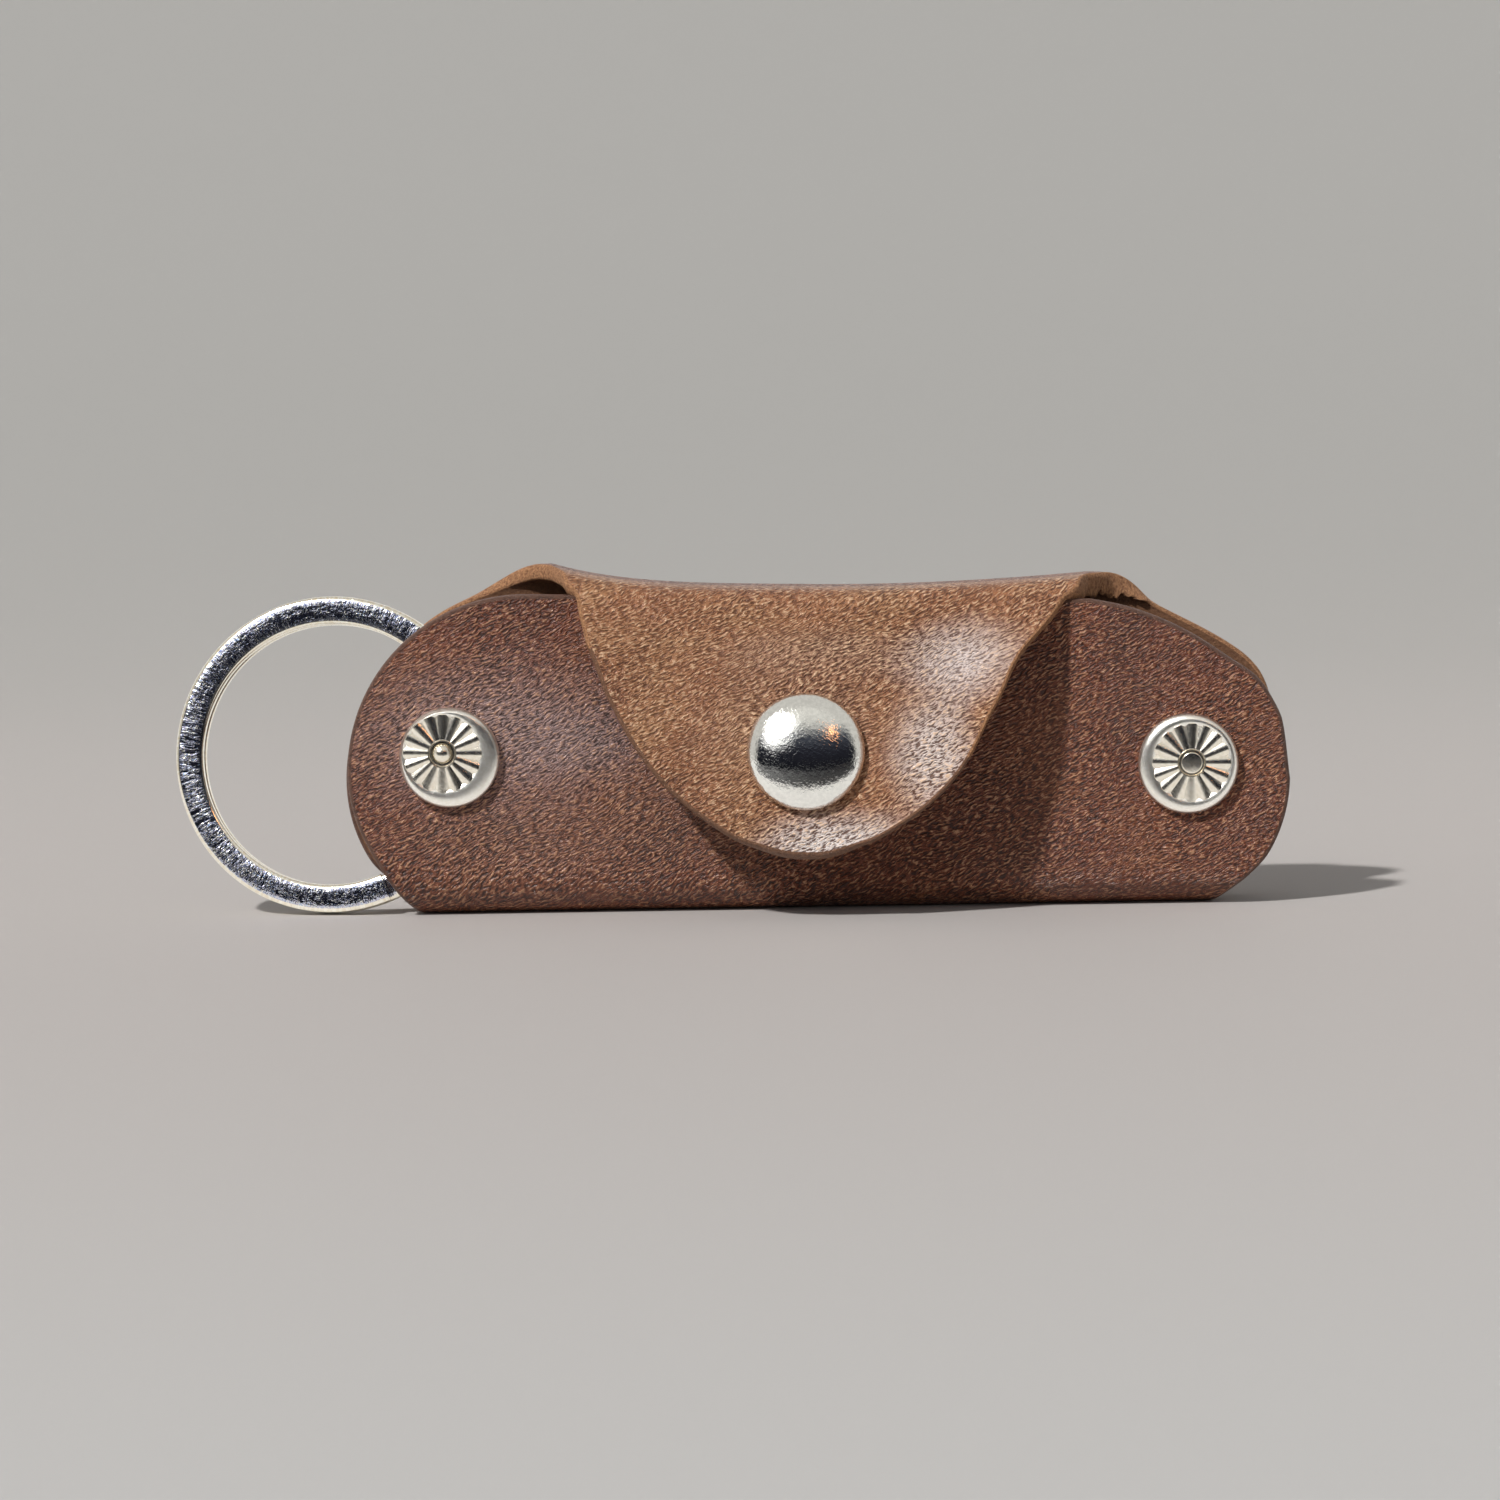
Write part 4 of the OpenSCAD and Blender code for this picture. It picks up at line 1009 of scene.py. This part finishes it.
paper = add(tree, "ShaderNodeMix", {"data_type": "RGBA"}, {0: mirrored, 6: paper, 7: paper_painted_for_metal}).outputs[2]
skin = add(tree, "ShaderNodeBsdfPrincipled", inputs={"Base Color": paper, "Roughness": 0.75, "IOR": 1.4})
add(tree, "ShaderNodeOutputMaterial", inputs={"Surface": skin})

SWEEP_HALF = 1.6
SWEEP_FRONT = -0.9
SWEEP_BACK = 0.25
SWEEP_BEND = 0.5
SWEEP_TOP = 1.6
sweep_line = [(SWEEP_FRONT, 0.0), (SWEEP_BACK, 0.0)]
sweep_line += [(SWEEP_BACK + SWEEP_BEND * math.sin(a), SWEEP_BEND - SWEEP_BEND * math.cos(a))
               for a in np.radians(np.arange(4, 91, 4))]
sweep_line += [(SWEEP_BACK + SWEEP_BEND, SWEEP_TOP)]
sweep_points = [(x, y, z) for y, z in sweep_line for x in (-SWEEP_HALF, SWEEP_HALF)]
sweep_faces = [(2 * k, 2 * k + 1, 2 * k + 3, 2 * k + 2) for k in range(len(sweep_line) - 1)]
sweep_mesh = bpy.data.meshes.new("Sweep")
sweep_mesh.from_pydata(sweep_points, [], sweep_faces)
sweep_mesh.polygons.foreach_set("use_smooth", [True] * len(sweep_faces))
sweep_mesh.materials.append(material)
sweep = bpy.data.objects.new("Sweep", sweep_mesh)
bpy.context.collection.objects.link(sweep)

# The world lights the case evenly. Metal mirrors a room in its place. The camera's side of
# it is dark low down and bright above, with a wide soft window at the left, the lamp's small
# bright disc in that, and a small warm light at the right. The rest is pale. Each glow is a
# direction, the cosines where it is full and where it ends, a colour and a strength.
GLOWS = (((-0.45, -0.66, 0.60), 1.0, 0.92, "FFFFFF", 2.2),
         ((-0.49, -0.49, 0.72), 0.9996, 0.99, "FFFFFF", 30.0),
         ((0.42, -0.72, 0.55), 0.9996, 0.9985, "FFB070", 9.0))
world = bpy.data.worlds.new("Studio")
bpy.context.scene.world = world
world.use_nodes = True
world.node_tree.nodes.clear()
tree = world.node_tree
sky = add(tree, "ShaderNodeTexCoord").outputs["Generated"]
spot = add(tree, "ShaderNodeSeparateXYZ", inputs={0: sky}).outputs
room = add(tree, "ShaderNodeValToRGB", {"stops": [
    (0.0, "16171C"), (0.3, "25262E"), (0.5, "4A4E58"), (0.66, "D8D7D2"), (1.0, "F6F4EE")]}, {
    "Fac": spot["Z"]})
around = add(tree, "ShaderNodeMapRange", {"interpolation_type": "SMOOTHSTEP"}, {
    "Value": spot["Y"], "From Min": -0.55, "From Max": -0.35})
room = add(tree, "ShaderNodeMix", {"data_type": "RGBA"}, {0: around, 6: room, 7: "D2D0CB"}).outputs[2]
room = add(tree, "ShaderNodeBackground", inputs={"Color": room, "Strength": 1.0})
for way, inner, outer, colour, strength in GLOWS:
    near = add(tree, "ShaderNodeVectorMath", {"operation": "DOT_PRODUCT"}, {
        0: sky, 1: Vector(way).normalized()}).outputs["Value"]
    glow = add(tree, "ShaderNodeMapRange", {"interpolation_type": "SMOOTHSTEP"}, {
        "Value": near, "From Min": outer, "From Max": inner, "To Min": 0.0, "To Max": strength})
    glow = add(tree, "ShaderNodeBackground", inputs={"Color": colour, "Strength": glow})
    room = add(tree, "ShaderNodeAddShader", inputs={0: room, 1: glow})
fill = add(tree, "ShaderNodeBackground", inputs={"Color": "CACCD0", "Strength": 0.43})
mirrored = add(tree, "ShaderNodeLightPath").outputs["Is Glossy Ray"]
both = add(tree, "ShaderNodeMixShader", inputs={0: mirrored, 1: fill, 2: room})
add(tree, "ShaderNodeOutputWorld", inputs={"Surface": both})

KEY_WAY = Vector((0.49, 0.49, -0.72))
lamp = bpy.data.lights.new("Key lamp", "SUN")
lamp.energy = 3.0
lamp.angle = math.radians(3.5)
key = bpy.data.objects.new("Key lamp", lamp)
key.rotation_euler = KEY_WAY.to_track_quat("-Z", "Y").to_euler()
bpy.context.collection.objects.link(key)

VIEW_MIDDLE = Vector((-6.9, -4.7, 17.3)) * MM
VIEW_WIDTH = 159.8 * MM
VIEW_DISTANCE = 650 * MM
VIEW_UP = math.radians(6)
VIEW_ROUND = math.radians(0.5)
VIEW_ROLL = math.radians(-1.0)
camera_data = bpy.data.cameras.new("Camera")
camera_data.lens = camera_data.sensor_width * VIEW_DISTANCE / VIEW_WIDTH
camera_data.clip_start = 0.01
camera = bpy.data.objects.new("Camera", camera_data)
away = Vector((math.sin(VIEW_ROUND) * math.cos(VIEW_UP), -math.cos(VIEW_ROUND) * math.cos(VIEW_UP),
               math.sin(VIEW_UP)))
turn = (-away).to_track_quat("-Z", "Y").to_matrix().to_4x4() @ Matrix.Rotation(VIEW_ROLL, 4, "Z")
camera.matrix_world = Matrix.Translation(VIEW_MIDDLE + away * VIEW_DISTANCE) @ turn
bpy.context.collection.objects.link(camera)
bpy.context.scene.camera = camera
bpy.context.scene.view_settings.view_transform = "Standard"
